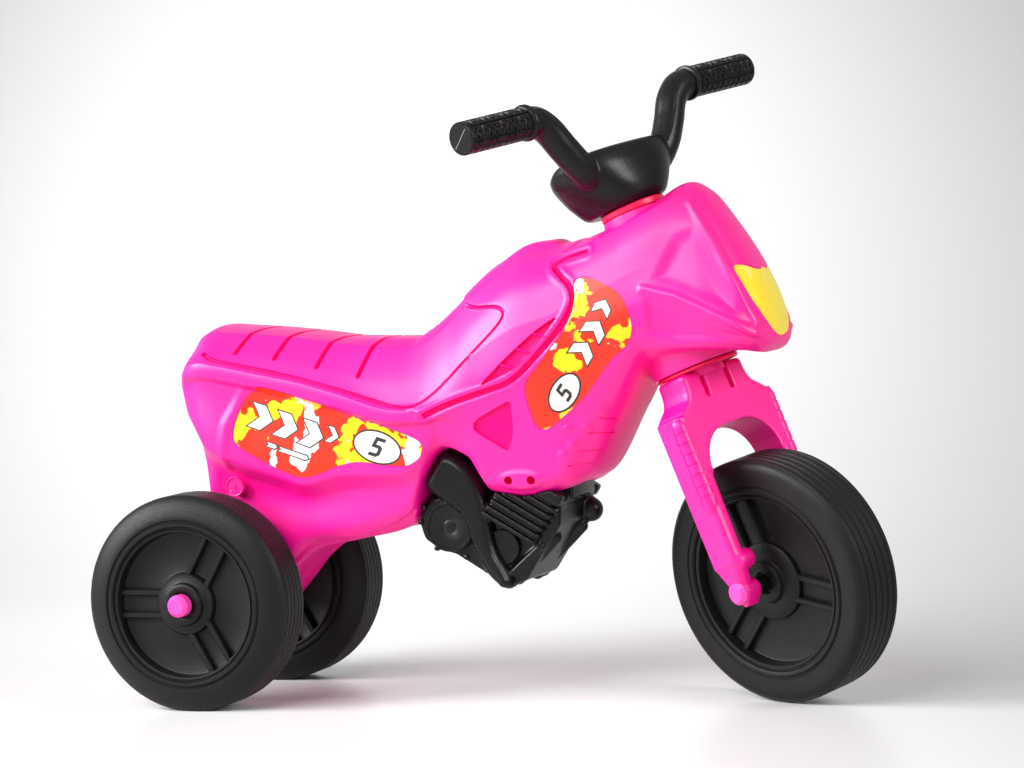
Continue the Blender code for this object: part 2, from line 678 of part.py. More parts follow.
def seat_groove(name, x):
    """A bent bar that cuts one cross groove: level over the seat's crown, then down its slopes."""
    crease = body_point(x, GROOVE_CREASE, 0.0)
    end = body_point(x - GROOVE_SWEEP, GROOVE_END, 0.0)
    crown_edge = section_height(x, 2)
    slope_edge = section_height(x - GROOVE_SWEEP, 3)
    half = GROOVE_WIDTH / 2.0
    depth = GROOVE_DEPTH
    top = section_height(x + GROOVE_LEAD, 0)
    path = [(x + GROOVE_LEAD, 0.0, top - depth), (x, crease.y, crown_edge - depth),
            (x - GROOVE_SWEEP, end.y, slope_edge - depth)]
    path = [(-1.0, point) for point in reversed(path[1:])] + [(1.0, point) for point in path]

    def build(bm):
        rows = []
        for side, (px, py, pz) in path:
            over = pz + GROOVE_CUTTER_HEIGHT
            corners = ((px - half, pz), (px + half, pz), (px + half, over), (px - half, over))
            rows.append([bm.verts.new((cx, side * py, cz)) for cx, cz in corners])
        for low, high in zip(rows, rows[1:]):
            for index in range(4):
                after = (index + 1) % 4
                bm.faces.new((low[index], high[index], high[after], low[after]))
        bm.faces.new(rows[0])
        bm.faces.new(rows[-1])
    return link(name, mesh_of(name, build), ORIGIN, None)


def wheel_profile(radius, tread, ring_radius, ring_height, hub_radius):
    """Closed half-plane profile of a hollow wheel, with its cavity open to the bore."""
    half = tread / 2.0
    ring = half + ring_height
    hub = ring - 1.0
    disc = ring - DISC_DEPTH
    wall = WHEEL_WALL
    bore = AXLE_RADIUS + RUNNING_GAP
    outer = [(bore, hub), (HUB_RING_RADIUS, hub), (HUB_RING_RADIUS + 1.0, hub - 4.0),
             (hub_radius, hub - HUB_STEP), (hub_radius + 1.0, disc), (ring_radius - RIM_LIP - 2.0, disc),
             (ring_radius - RIM_LIP, ring - 1.8), (ring_radius, ring),
             ((ring_radius + radius) / 2.0 + 1.0, half + ring_height * 0.72), (radius, half)]
    inner = [(bore, hub - HUB_LAND), (hub_radius - wall, hub - HUB_LAND),
             (hub_radius - wall + 1.0, disc - wall), (ring_radius - RIM_LIP - 3.0, disc - wall),
             (ring_radius - RIM_LIP + 1.0, ring - wall - 1.8),
             ((ring_radius + radius) / 2.0, half + ring_height * 0.72 - wall),
             (radius - wall, half - wall)]
    top = outer + [(r, -w) for r, w in reversed(outer)]
    cavity = [(r, -w) for r, w in inner] + list(reversed(inner))
    return top + cavity


def make_wheel(name, parent, place, radius, tread, ring_radius, ring_height, hub_radius):
    """A hollow wheel on its axle line, with three pairs of ribs on each face."""
    spin = add_empty(name + "_spin", shift(0.0, place, 0.0), parent)
    phase = math.pi / WHEEL_SEGMENTS
    wheel = turned(name, wheel_profile(radius, tread, ring_radius, ring_height, hub_radius), spin, BLACK,
                   WHEEL_SEGMENTS, phase)
    half = tread / 2.0 + ring_height
    floor = half - DISC_DEPTH - 1.0
    reach = ring_radius - RIM_LIP - 1.0
    for side in (-1.0, 1.0):
        for pair in range(RIB_PAIRS):
            for offset in (-0.5, 0.5):
                angle = RIB_START + pair * 2.0 * math.pi / RIB_PAIRS
                low = (hub_radius - 3.0, min(side * floor, side * (floor + RIB_DEPTH)),
                       offset * RIB_SPACING - RIB_WIDTH / 2.0)
                high = (reach, max(side * floor, side * (floor + RIB_DEPTH)),
                        offset * RIB_SPACING + RIB_WIDTH / 2.0)
                rib = box("%s_rib_%d_%d_%d" % (name, side, pair, offset * 2), low, high, spin)
                rib.matrix_local = Matrix.Rotation(angle, 4, "Y")
                join(wheel, rib)
    return wheel


def make_cap(name, parent, inner, outer, side):
    """A pushed-on end cap with a flat round nose and a blind hole for the axle."""
    bore = AXLE_RADIUS + TOUCH_GAP
    floor = outer - CAP_WALL
    profile = [(0.0, outer), (CAP_RADIUS - CAP_SHOULDER, outer), (CAP_RADIUS, outer - CAP_SHOULDER),
               (CAP_RADIUS, inner), (bore, inner), (bore, floor), (0.0, floor)]
    mirrored = [(r, side * h) for r, h in profile]
    if side < 0:
        mirrored.reverse()
    return turned(name, mirrored, parent, PINK, 16)


def make_ring(name, parent, inner, outer, radius, bore, material, side, segments=20):
    """A plain ring along the Y axis between two distances from the middle."""
    profile = [(bore, outer), (radius, outer), (radius, inner), (bore, inner)]
    mirrored = [(r, side * h) for r, h in profile]
    if side < 0:
        mirrored.reverse()
    return turned(name, mirrored, parent, material, segments)


def make_rear_end():
    """Rear axle with its wheels, spacers and caps."""
    middle = REAR_WHEEL_SPACING / 2.0
    hub = REAR_TREAD_WIDTH / 2.0 + REAR_RING_HEIGHT - 1.0
    hub_face = middle + hub
    axle_end = hub_face + TOUCH_GAP + CAP_LENGTH - CAP_WALL - TOUCH_GAP
    rod("rear_axle", (0.0, -axle_end, 0.0), (0.0, axle_end, 0.0), AXLE_RADIUS, REAR_AXLE_LINE, STEEL, 20)
    for side, word in ((-1.0, "right"), (1.0, "left")):
        make_wheel("rear_wheel_" + word, REAR_AXLE_LINE, side * middle, REAR_WHEEL_RADIUS, REAR_TREAD_WIDTH,
                   REAR_RING_RADIUS, REAR_RING_HEIGHT, REAR_HUB_RADIUS)
        make_ring("rear_spacer_" + word, REAR_AXLE_LINE, BODY_LEG_HALF_WIDTH + TOUCH_GAP,
                  middle - hub - RUNNING_GAP, SPACER_RADIUS, AXLE_RADIUS + TOUCH_GAP, BLACK, side)
        make_cap("rear_axle_cap_" + word, REAR_AXLE_LINE, hub_face + RUNNING_GAP,
                 hub_face + TOUCH_GAP + CAP_LENGTH, side)


def make_front_wheel():
    """Front wheel with its axle, spacers and caps between the fork's ends."""
    hub = FRONT_TREAD_WIDTH / 2.0 + FRONT_RING_HEIGHT - 1.0
    axle_end = LEG_OUTER - CAP_WALL - TOUCH_GAP
    rod("front_axle", (0.0, -axle_end, 0.0), (0.0, axle_end, 0.0), AXLE_RADIUS, STEERING, STEEL, 20)
    make_wheel("front_wheel", STEERING, 0.0, FRONT_WHEEL_RADIUS, FRONT_TREAD_WIDTH, FRONT_RING_RADIUS,
               FRONT_RING_HEIGHT, FRONT_HUB_RADIUS)
    for side, word in ((-1.0, "right"), (1.0, "left")):
        make_ring("front_spacer_" + word, STEERING, hub + RUNNING_GAP, AXLE_LUG_INNER - TOUCH_GAP,
                  SPACER_RADIUS - 1.0, AXLE_RADIUS + TOUCH_GAP, BLACK, side)
        make_cap("front_axle_cap_" + word, STEERING, AXLE_LUG_OUTER + TOUCH_GAP, LEG_OUTER, side)


def arch_outline():
    """Inside of the fork's arch, from the right leg over the wheel to the left leg."""
    points = [(LEG_INNER, -30.0)]
    steps = 4
    for index in range(steps + 1):
        angle = index * math.pi / 2.0 / steps
        points.append((LEG_INNER - ARCH_CORNER + ARCH_CORNER * math.cos(angle),
                       ARCH_TOP - ARCH_CORNER + ARCH_CORNER * math.sin(angle)))
    return [(-v, s) for v, s in points] + list(reversed(points))


def make_fork():
    """One-piece fork: stem, crown, two legs and the lugs that hold the axle."""
    half = [(CROWN_HALF_WIDTH, CROWN_TOP), (CROWN_HALF_WIDTH, CROWN_TOP - 12.0),
            (SHOULDER_HALF_WIDTH, SHOULDER_TOP), (LEG_OUTER, SHOULDER_CORNER), (LEG_OUTER, LEG_FOOT)]
    outline = [(-v, s) for v, s in half] + list(reversed(half))
    fork = prism("fork", outline, LEG_REAR, LEG_FRONT, "YZ", STEERING, PINK)
    round_edges = fork.modifiers.new("round_edges", "BEVEL")
    round_edges.width = LEG_ROUND * MM
    round_edges.segments = 1
    round_edges.limit_method = "ANGLE"
    round_edges.angle_limit = math.radians(50.0)
    cut(fork, prism("fork_arch", arch_outline(), LEG_REAR - CUT_REACH, LEG_FRONT + CUT_REACH, "YZ", STEERING))
    for side in (-1.0, 1.0):
        foot_low = min(side * (LEG_INNER + 2.0), side * (LEG_OUTER - 3.0))
        foot_high = max(side * (LEG_INNER + 2.0), side * (LEG_OUTER - 3.0))
        foot = ((LEG_REAR + 3.0, LEG_FOOT + 3.5), (LEG_FRONT - 3.0, LEG_FOOT + 3.5), (6.5, 0.5),
                (-AXLE_LUG_RADIUS + 0.5, 2.5), (LEG_REAR + 2.0, LEG_FOOT - 3.0))
        join(fork, prism("fork_foot_%d" % side, foot, foot_low, foot_high, "XZ", STEERING))
        join(fork, rod("axle_lug_%d" % side, (0.0, side * AXLE_LUG_INNER, 0.0),
                       (0.0, side * AXLE_LUG_OUTER, 0.0), AXLE_LUG_RADIUS, STEERING, segments=16))
        keel_low = min(side * (AXLE_LUG_INNER + 0.5), side * (AXLE_LUG_OUTER - 0.5))
        keel_high = max(side * (AXLE_LUG_INNER + 0.5), side * (AXLE_LUG_OUTER - 0.5))
        join(fork, box("lug_keel_%d" % side, (-4.5, keel_low, -AXLE_LUG_KEEL), (4.5, keel_high, -2.0),
                       STEERING))
        join(fork, rod("fork_nub_%d" % side, (NUB_FORWARD, side * AXLE_LUG_INNER, NUB_HEIGHT),
                       (NUB_FORWARD, side * (LEG_INNER + 6.0), NUB_HEIGHT), NUB_RADIUS, STEERING,
                       segments=16))
        cut(fork, rod("cap_room_%d" % side, (0.0, side * AXLE_LUG_OUTER, 0.0),
                      (0.0, side * SIDE_REACH, 0.0), CAP_RADIUS + SLIDE_GAP, STEERING, segments=20))
        slot_middle = side * CROWN_SLOT_SPACING / 2.0
        cut(fork, box("crown_slot_%d" % side,
                      (LEG_FRONT - CROWN_SLOT_DEPTH, slot_middle - CROWN_SLOT_WIDTH / 2.0, CROWN_SLOT_BOTTOM),
                      (LEG_FRONT + CUT_REACH, slot_middle + CROWN_SLOT_WIDTH / 2.0, CROWN_TOP + CUT_REACH),
                      STEERING))
    join(fork, steer_rod("stem", STEM_FOOT, STEM_TOP, STEM_RADIUS))
    cut(fork, steer_rod("stem_bore", STEM_BORE_FLOOR, STEM_TOP + CUT_REACH, STEM_RADIUS - STEM_WALL))
    cut(fork, rod("front_axle_bore", (0.0, -SIDE_REACH, 0.0), (0.0, SIDE_REACH, 0.0),
                  AXLE_RADIUS + TOUCH_GAP, STEERING, segments=20))
    cut(fork, rod("stem_bolt_hole", (-CUT_REACH, 0.0, BAR_BOLT_HEIGHT), (CUT_REACH, 0.0, BAR_BOLT_HEIGHT),
                  BAR_BOLT_RADIUS + TOUCH_GAP, STEERING, segments=12))
    return fork


# Sections of the bar's middle block: height, middle and half length along u, half width
BAR_BLOCK = ((0.0, -8.0, 35.0, 31.0), (6.0, -8.0, 39.0, 35.0), (21.0, -8.0, 41.0, 42.0),
             (33.0, -8.0, 41.0, 52.0), (43.0, -6.0, 37.0, 54.0), (49.0, 4.0, 24.0, 49.0))
# Middle line of the bar: u, v and the share of the way up from the block to the grip
BAR_PATH = ((19.5, 100.0, 1.0), (19.0, 88.0, 0.984), (17.5, 78.0, 0.875), (15.5, 65.0, 0.578),
            (14.0, 54.0, 0.344), (10.0, 38.0, 0.109), (4.0, 26.0, 0.031), (1.0, 12.0, 0.0))
BLOCK_POINTS = 20
BLOCK_SQUARENESS = 2.6


def block_ring(height, middle, half_length, half_width):
    """A rounded-square ring of the bar's block."""
    ring = []
    power = 2.0 / BLOCK_SQUARENESS
    for index in range(BLOCK_POINTS):
        angle = 2.0 * math.pi * index / BLOCK_POINTS
        u = math.copysign(abs(math.cos(angle)) ** power, math.cos(angle))
        v = math.copysign(abs(math.sin(angle)) ** power, math.sin(angle))
        ring.append(Vector((middle + u * half_length, v * half_width, BAR_BOTTOM + height)))
    return ring


def bar_points(side, end):
    """Middle line of one half of the bar, from the block to the end of the grip."""
    climb = GRIP_RISE - BAR_JOIN
    points = [Vector((u, side * v, BAR_BOTTOM + BAR_JOIN + share * climb))
              for u, v, share in reversed(BAR_PATH)]
    points.append(Vector((GRIP_FORWARD, side * end, GRIP_HEIGHT)))
    return points


def make_handlebar():
    """Hollow bar with two grips, whose middle block sits over the fork's stem."""
    bar = loft("handlebar", [block_ring(*section) for section in BAR_BLOCK], STEERING, BLACK)
    grip_start = BAR_HALF_WIDTH - GRIP_LENGTH
    for side in (-1.0, 1.0):
        tube_points = bar_points(side, BAR_HALF_WIDTH - BAR_TUBE_END_INSET)
        join(bar, tube("bar_tube_%d" % side, tube_points, BAR_TUBE_RADIUS, STEERING))
        join(bar, rod("grip_%d" % side, (GRIP_FORWARD, side * grip_start, GRIP_HEIGHT),
                      (GRIP_FORWARD, side * BAR_HALF_WIDTH, GRIP_HEIGHT), GRIP_RADIUS, STEERING,
                      segments=18))
        join(bar, rod("grip_flange_%d" % side,
                      (GRIP_FORWARD, side * (grip_start - FLANGE_WIDTH), GRIP_HEIGHT),
                      (GRIP_FORWARD, side * (grip_start + 0.5), GRIP_HEIGHT), FLANGE_RADIUS, STEERING,
                      segments=18))
    for side in (-1.0, 1.0):
        cut(bar, tube("bar_hollow_%d" % side, bar_points(side, BAR_HALF_WIDTH - BAR_HOLLOW_END_INSET),
                      BAR_TUBE_RADIUS - BAR_WALL, STEERING, 2))
    cut(bar, steer_rod("bar_socket", BAR_BOTTOM - CUT_REACH, STEM_TOP + TOUCH_GAP, STEM_RADIUS + TOUCH_GAP))
    back = bar_back()
    cut(bar, rod("bar_bolt_hole", (back - CUT_REACH, 0.0, BAR_BOLT_HEIGHT),
                 (back + BAR_BOLT_LENGTH + TOUCH_GAP, 0.0, BAR_BOLT_HEIGHT), BAR_BOLT_RADIUS + TOUCH_GAP,
                 STEERING, segments=12))
    cut(bar, rod("bar_bolt_seat", (back - CUT_REACH, 0.0, BAR_BOLT_HEIGHT),
                 (back + BAR_BOLT_SEAT_DEPTH, 0.0, BAR_BOLT_HEIGHT), BAR_BOLT_HEAD + SLIDE_GAP, STEERING,
                 segments=18))
    return bar


def bar_back():
    """Rearmost place of the bar's block at the height of its bolt."""
    height = BAR_BOLT_HEIGHT - BAR_BOTTOM
    for low, high in zip(BAR_BLOCK, BAR_BLOCK[1:]):
        if low[0] <= height <= high[0]:
            share = (height - low[0]) / (high[0] - low[0])
            return (low[1] - low[2]) * (1.0 - share) + (high[1] - high[2]) * share
    return BAR_BLOCK[-1][1] - BAR_BLOCK[-1][2]


def make_bar_bolt():
    """Hexagon-headed screw that fastens the bar to the stem from behind."""
    seat = bar_back() + BAR_BOLT_SEAT_DEPTH - TOUCH_GAP
    bolt = rod("handlebar_bolt", (seat - BAR_BOLT_HEAD_HEIGHT, 0.0, BAR_BOLT_HEIGHT),
               (seat, 0.0, BAR_BOLT_HEIGHT), BAR_BOLT_HEAD, STEERING, STEEL, 6)
    join(bolt, rod("bolt_shank", (seat - 1.0, 0.0, BAR_BOLT_HEIGHT),
                   (bar_back() + BAR_BOLT_LENGTH - TOUCH_GAP, 0.0, BAR_BOLT_HEIGHT), BAR_BOLT_RADIUS,
                   STEERING, segments=12))


def make_bushes():
    """Flanged bushes that carry the stem in the body's neck."""
    flange_bottom = NECK_TOP + TOUCH_GAP
    upper = steer_rod("steering_bush_upper", flange_bottom, flange_bottom + BUSH_FLANGE,
                      NECK_RADIUS, ORIGIN_STEERING, RED_PINK)
    join(upper, steer_rod("upper_sleeve", NECK_TOP - BUSH_SLEEVE, flange_bottom + 1.0, BUSH_OUTER_RADIUS))
    cut(upper, steer_rod("upper_bush_bore", NECK_TOP - CUT_REACH, NECK_TOP + CUT_REACH, BUSH_BORE_RADIUS))
    flange_bottom = CROWN_TOP + TOUCH_GAP
    lower = steer_rod("steering_bush_lower", flange_bottom, flange_bottom + LOWER_FLANGE,
                      LOWER_NECK_RADIUS - 3.0, ORIGIN_STEERING, RED_PINK)
    join(lower, steer_rod("lower_sleeve", flange_bottom + 1.0, LOWER_NECK_BOTTOM + BUSH_SLEEVE,
                          BUSH_OUTER_RADIUS))
    cut(lower, steer_rod("lower_bush_bore", CROWN_TOP - CUT_REACH, CROWN_TOP + CUT_REACH, BUSH_BORE_RADIUS))


ORIGIN_STEERING = add_empty("neck_axis",
                            shift(WHEELBASE, 0.0, FRONT_AXLE_HEIGHT) @ steering_rotation(0.0), ORIGIN)

CRANKCASE = ((203, 176), (194, 165), (190, 152), (194, 139), (207, 130), (222, 126), (252, 108), (266, 99),
             (284, 104), (300, 128), (316, 150), (320, 174), (262, 174), (240, 176))
GUARD = ((219, 213), (213, 203), (204, 188), (206, 179), (221, 170), (237, 157), (242, 134), (247, 122),
         (255, 108), (265, 99), (272, 97), (277, 101), (276, 110), (266, 132), (263, 158), (257, 179),
         (249, 192), (239, 204), (229, 211))
LUG = ((229, 172), (229, 221), (327, 221), (327, 172))
LUG_CAVITY = ((232, 126), (232, 219), (300, 219), (300, 126))
PIPE_PATHS = {-1.0: ((290, 142), (308, 146), (305, 136), (290, 121), (272, 104)),
              1.0: ((300, 152), (317, 158), (313, 142), (293, 122), (270, 104))}
PIPE_BULB = ((304.0, 161.0), (320.0, 155.0))
PIPE_BULB_RADIUS = 9.0
COVERS = ((220.5, 150.0, 21.0), (277.0, 131.0, 10.0))
FIN_FRONT = (298.5, 137.5)
FIN_FRONT_SLOPE = math.radians(57.4)
BODY_ROOM = ((150, 132), (188.6, 149.6), (206.4, 190.6), (221, 215.8), (243, 206.8), (260, 180.8),
             (290, 175.8), (325, 182.8), (346, 188.8), (376, 237), (376, 300), (150, 300))


def fin_front(index):
    """Front edge of one cooling fin."""
    x, z = engine_outline([FIN_FRONT])[0]
    run = FIN_PITCH * index
    return Vector((x + math.cos(FIN_FRONT_SLOPE) * run, 0.0, z + math.sin(FIN_FRONT_SLOPE) * run))


def fin_box(index, half_width, overhang, thickness):
    """A slab behind a fin's front edge, sloping down towards the front."""
    ahead = Vector((math.cos(FIN_TILT), 0.0, -math.sin(FIN_TILT)))
    middle = fin_front(index) - ahead * (FIN_LENGTH / 2.0 + overhang)
    reach = Vector((FIN_LENGTH / 2.0, half_width, thickness / 2.0))
    return box("fin_%g" % index, middle - reach, middle + reach, ORIGIN,
               tilt=Matrix.Rotation(FIN_TILT, 4, "Y"))


def make_engine():
    """Blow-moulded engine: crankcase, finned cylinder, guards, pipes and the lug in the body."""
    engine = prism("engine", engine_outline(CRANKCASE), -ENGINE_HALF_WIDTH, ENGINE_HALF_WIDTH, "XZ", ORIGIN,
                   BLACK)
    middle_fin = (FIN_COUNT - 1) / 2.0
    cylinder = fin_box(middle_fin, FIN_HALF_WIDTH - FIN_OVERHANG, FIN_OVERHANG,
                       FIN_PITCH * (FIN_COUNT - 1) - FIN_THICKNESS)
    join(engine, cylinder)
    for side in (-1.0, 1.0):
        low = min(side * (ENGINE_HALF_WIDTH - 6.0), side * GUARD_HALF_WIDTH)
        high = max(side * (ENGINE_HALF_WIDTH - 6.0), side * GUARD_HALF_WIDTH)
        guard = prism("guard_%d" % side, engine_outline(GUARD), low, high, "XZ", ORIGIN)
        join(engine, guard)
        for number, (x, z, radius) in enumerate(COVERS):
            x, z = engine_outline([(x, z)])[0]
            join(engine, rod("cover_%d_%d" % (side, number), (x, side * (ENGINE_HALF_WIDTH - 3.0), z),
                             (x, side * (ENGINE_HALF_WIDTH + 5.0), z), radius, ORIGIN))
        path = [(x, side * PIPE_SIDE, z) for x, z in engine_outline(PIPE_PATHS[side])]
        join(engine, tube("pipe_%d" % side, path, PIPE_RADIUS, ORIGIN, 2))
    for index in range(FIN_COUNT):
        join(engine, fin_box(index, FIN_HALF_WIDTH, 0.0, FIN_THICKNESS))
    start, end = [(x, PIPE_SIDE, z) for x, z in engine_outline(PIPE_BULB)]
    join(engine, rod("pipe_bulb", start, end, PIPE_BULB_RADIUS, ORIGIN, segments=16))
    cut(engine, prism("body_room", engine_outline(BODY_ROOM), -SIDE_REACH, SIDE_REACH, "XZ", ORIGIN))
    join(engine, prism("engine_lug", engine_outline(LUG), -LUG_HALF_WIDTH, LUG_HALF_WIDTH, "XZ", ORIGIN))
    cavity = grown(engine_outline(LUG_CAVITY), -ENGINE_WALL)
    cut(engine, prism("engine_cavity", cavity, ENGINE_WALL - LUG_HALF_WIDTH, LUG_HALF_WIDTH - ENGINE_WALL,
                      "XZ", ORIGIN))
    crank_cavity = shrunk(engine_outline(CRANKCASE), CRANK_CAVITY_SHARE)
    cut(engine, prism("crank_cavity", crank_cavity, ENGINE_WALL - ENGINE_HALF_WIDTH,
                      ENGINE_HALF_WIDTH - ENGINE_WALL, "XZ", ORIGIN))
    x, z = engine_outline([BLOW_HOLE_PLACE])[0]
    cut(engine, rod("engine_blow_hole", (x, 0.0, z - BLOW_HOLE_REACH), (x, 0.0, z + BLOW_HOLE_REACH),
                    BLOW_HOLE_RADIUS, ORIGIN, segments=12))
    for number, (side, x, z) in enumerate(screw_places()):
        cut(engine, rod("engine_pilot_%d" % number, (x, side * (SCREW_TIP - TOUCH_GAP), z),
                        (x, side * SIDE_REACH, z), SCREW_RADIUS + TOUCH_GAP, ORIGIN, segments=12))
    return engine


def make_screws():
    """Pan-headed screws that hold the engine between the body's cheeks."""
    for number, (side, x, z) in enumerate(screw_places()):
        seat = SCREW_SEAT + TOUCH_GAP
        screw = rod("engine_screw_%d" % (number + 1), (x, side * seat, z),
                    (x, side * (seat + SCREW_HEAD_HEIGHT), z), SCREW_HEAD_RADIUS, ORIGIN, STEEL, 14)
        join(screw, rod("screw_shank_%d" % number, (x, side * SCREW_TIP, z), (x, side * (seat + 1.0), z),
                        SCREW_RADIUS, ORIGIN, segments=10))


def make_films():
    """Printed films on the sides, the tank and the nose, and the skins that give them their shape."""
    below = loft("skin_below_film", offset_rings(FILM_GAP), ORIGIN)
    above = loft("skin_over_film", offset_rings(FILM_GAP + FILM_THICKNESS), ORIGIN)
    films = []
    for side, word in ((-1.0, "right"), (1.0, "left")):
        low = min(side * FILM_BLOCK_START, side * SIDE_REACH)
        high = max(side * FILM_BLOCK_START, side * SIDE_REACH)
        for name, outline in (("side_decal_", SIDE_DECAL), ("tank_decal_", TANK_DECAL)):
            placed = [(body_point(x, 0.0, z).x, body_point(x, 0.0, z).z) for x, z in outline]
            films.append(prism(name + word, placed, low, high, "XZ", ORIGIN, ORANGE_FILM))
    rear, front = [body_point(x, 0.0, 0.0).x for x in HEADLIGHT_BLOCK]
    placed = [(y, body_point(0.0, 0.0, z).z) for y, z in HEADLIGHT_OUTLINE]
    films.append(prism("headlight", placed, rear, front, "YZ", ORIGIN, YELLOW_FILM))
    for film in films:
        boolean(film, above, "INTERSECT")
        boolean(film, below, "DIFFERENCE")


def main():
    make_body()
    make_engine()
    make_screws()
    make_rear_end()
    make_fork()
    make_bushes()
    make_handlebar()
    make_bar_bolt()
    make_front_wheel()
    make_films()


main()
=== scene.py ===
"""Dressed scene of the three-wheeled foot-to-floor bike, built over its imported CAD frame.

Shapes are worked out in millimetres in two sets of axes. The toy's own axes are +X forward, +Y to
its left and +Z up from the floor under the rear axle. The steered axes are u forward, v to the
left and s up along the steering axis, from the middle of the front wheel.
"""

import json
import math

import bmesh
import bpy
import numpy as np
from mathutils import Matrix, Vector, geometry
from mathutils.bvhtree import BVHTree


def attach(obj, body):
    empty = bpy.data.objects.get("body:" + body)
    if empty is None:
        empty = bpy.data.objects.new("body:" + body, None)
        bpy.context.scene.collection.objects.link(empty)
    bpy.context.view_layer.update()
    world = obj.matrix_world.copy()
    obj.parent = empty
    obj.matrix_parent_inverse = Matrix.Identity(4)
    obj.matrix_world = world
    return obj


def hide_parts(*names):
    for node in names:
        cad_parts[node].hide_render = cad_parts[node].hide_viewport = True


MM = 0.001

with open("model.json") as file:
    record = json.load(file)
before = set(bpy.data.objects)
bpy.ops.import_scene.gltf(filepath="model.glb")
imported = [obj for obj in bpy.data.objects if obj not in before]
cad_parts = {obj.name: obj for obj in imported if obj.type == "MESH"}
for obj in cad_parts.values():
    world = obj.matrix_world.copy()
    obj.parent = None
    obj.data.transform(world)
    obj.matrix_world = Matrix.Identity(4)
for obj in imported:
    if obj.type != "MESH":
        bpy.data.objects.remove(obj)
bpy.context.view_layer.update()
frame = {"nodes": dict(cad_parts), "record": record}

JOINTS = {joint["name"]: joint for joint in frame["record"]["behaviour"]["joints"]}
LEFT_HUB = Vector(JOINTS["rear_wheel_left_spin"]["pos_m"])
RIGHT_HUB = Vector(JOINTS["rear_wheel_right_spin"]["pos_m"])
FRONT_HUB = Vector(JOINTS["front_wheel_spin"]["pos_m"])
REAR_MIDDLE = (LEFT_HUB + RIGHT_HUB) / 2.0
STEER_UP = Vector(JOINTS["steering_turn"]["axis"]).normalized()
STEER_LEFT = Vector(JOINTS["front_wheel_spin"]["axis"]).normalized()
STEER_AHEAD = STEER_LEFT.cross(STEER_UP)


def axes_matrix(place, ahead, left, up):
    """Matrix from millimetres along three axes at a place to the row frame in metres."""
    matrix = Matrix.Identity(4)
    for column, axis in enumerate((ahead, left, up)):
        for row in range(3):
            matrix[row][column] = axis[row] * MM
    for row in range(3):
        matrix[row][3] = place[row]
    return matrix


X_AXIS = Vector((1.0, 0.0, 0.0))
Y_AXIS = Vector((0.0, 1.0, 0.0))
Z_AXIS = Vector((0.0, 0.0, 1.0))
TOY = axes_matrix(Vector((REAR_MIDDLE.x, REAR_MIDDLE.y, 0.0)), X_AXIS, Y_AXIS, Z_AXIS)
STEERED = axes_matrix(FRONT_HUB, STEER_AHEAD, STEER_LEFT, STEER_UP)
NECK_AHEAD = Y_AXIS.cross(STEER_UP)
NECK = axes_matrix(FRONT_HUB, NECK_AHEAD, Y_AXIS, STEER_UP)


# Materials

WAVE_SCALE = 14.0
BUMP_STRENGTH = 0.5


def node_material(name, colour, roughness, specular, metallic=0.0):
    """A Principled material with its main values set on the shader's own sockets."""
    material = bpy.data.materials.new(name)
    material.use_nodes = True
    shader = material.node_tree.nodes["Principled BSDF"]
    shader.inputs["Base Color"].default_value = (*colour, 1.0)
    shader.inputs["Roughness"].default_value = roughness
    shader.inputs["Metallic"].default_value = metallic
    shader.inputs["Specular IOR Level"].default_value = specular
    return material


def add_node(material, kind, **values):
    """A node of a kind, with its plain properties set."""
    node = material.node_tree.nodes.new(kind)
    for key, value in values.items():
        setattr(node, key, value)
    return node


def wire(material, source, target):
    """A link between two sockets."""
    material.node_tree.links.new(source, target)


def object_noise(material, scale, detail, stretch=(1.0, 1.0, 1.0)):
    """Noise fixed to the object, at a number of cells to the metre."""
    place = add_node(material, "ShaderNodeTexCoord")
    mapping = add_node(material, "ShaderNodeMapping")
    mapping.inputs["Scale"].default_value = stretch
    noise = add_node(material, "ShaderNodeTexNoise")
    noise.inputs["Scale"].default_value = scale
    noise.inputs["Detail"].default_value = detail
    wire(material, place.outputs["Object"], mapping.inputs["Vector"])
    wire(material, mapping.outputs["Vector"], noise.inputs["Vector"])
    return noise.outputs["Fac"]


def spread_value(material, source, low, high, start=0.3, end=0.7):
    """A factor mapped onto a range of values."""
    node = add_node(material, "ShaderNodeMapRange")
    node.inputs["From Min"].default_value = start
    node.inputs["From Max"].default_value = end
    node.inputs["To Min"].default_value = low
    node.inputs["To Max"].default_value = high
    wire(material, source, node.inputs["Value"])
    return node.outputs["Result"]


def colour_mix(material, source, low, high):
    """A colour that runs from one to another with a factor."""
    node = add_node(material, "ShaderNodeMix", data_type="RGBA")
    node.inputs["A"].default_value = (*low, 1.0)
    node.inputs["B"].default_value = (*high, 1.0)
    wire(material, source, node.inputs["Factor"])
    return node.outputs["Result"]


def bump(material, layers):
    """Bumps one over the other, each a height with its strength and depth in metres."""
    shader = material.node_tree.nodes["Principled BSDF"]
    last = None
    for height, strength, depth in layers:
        node = add_node(material, "ShaderNodeBump")
        node.inputs["Strength"].default_value = strength
        node.inputs["Distance"].default_value = depth
        wire(material, height, node.inputs["Height"])
        if last is not None:
            wire(material, last, node.inputs["Normal"])
        last = node.outputs["Normal"]
    wire(material, last, shader.inputs["Normal"])


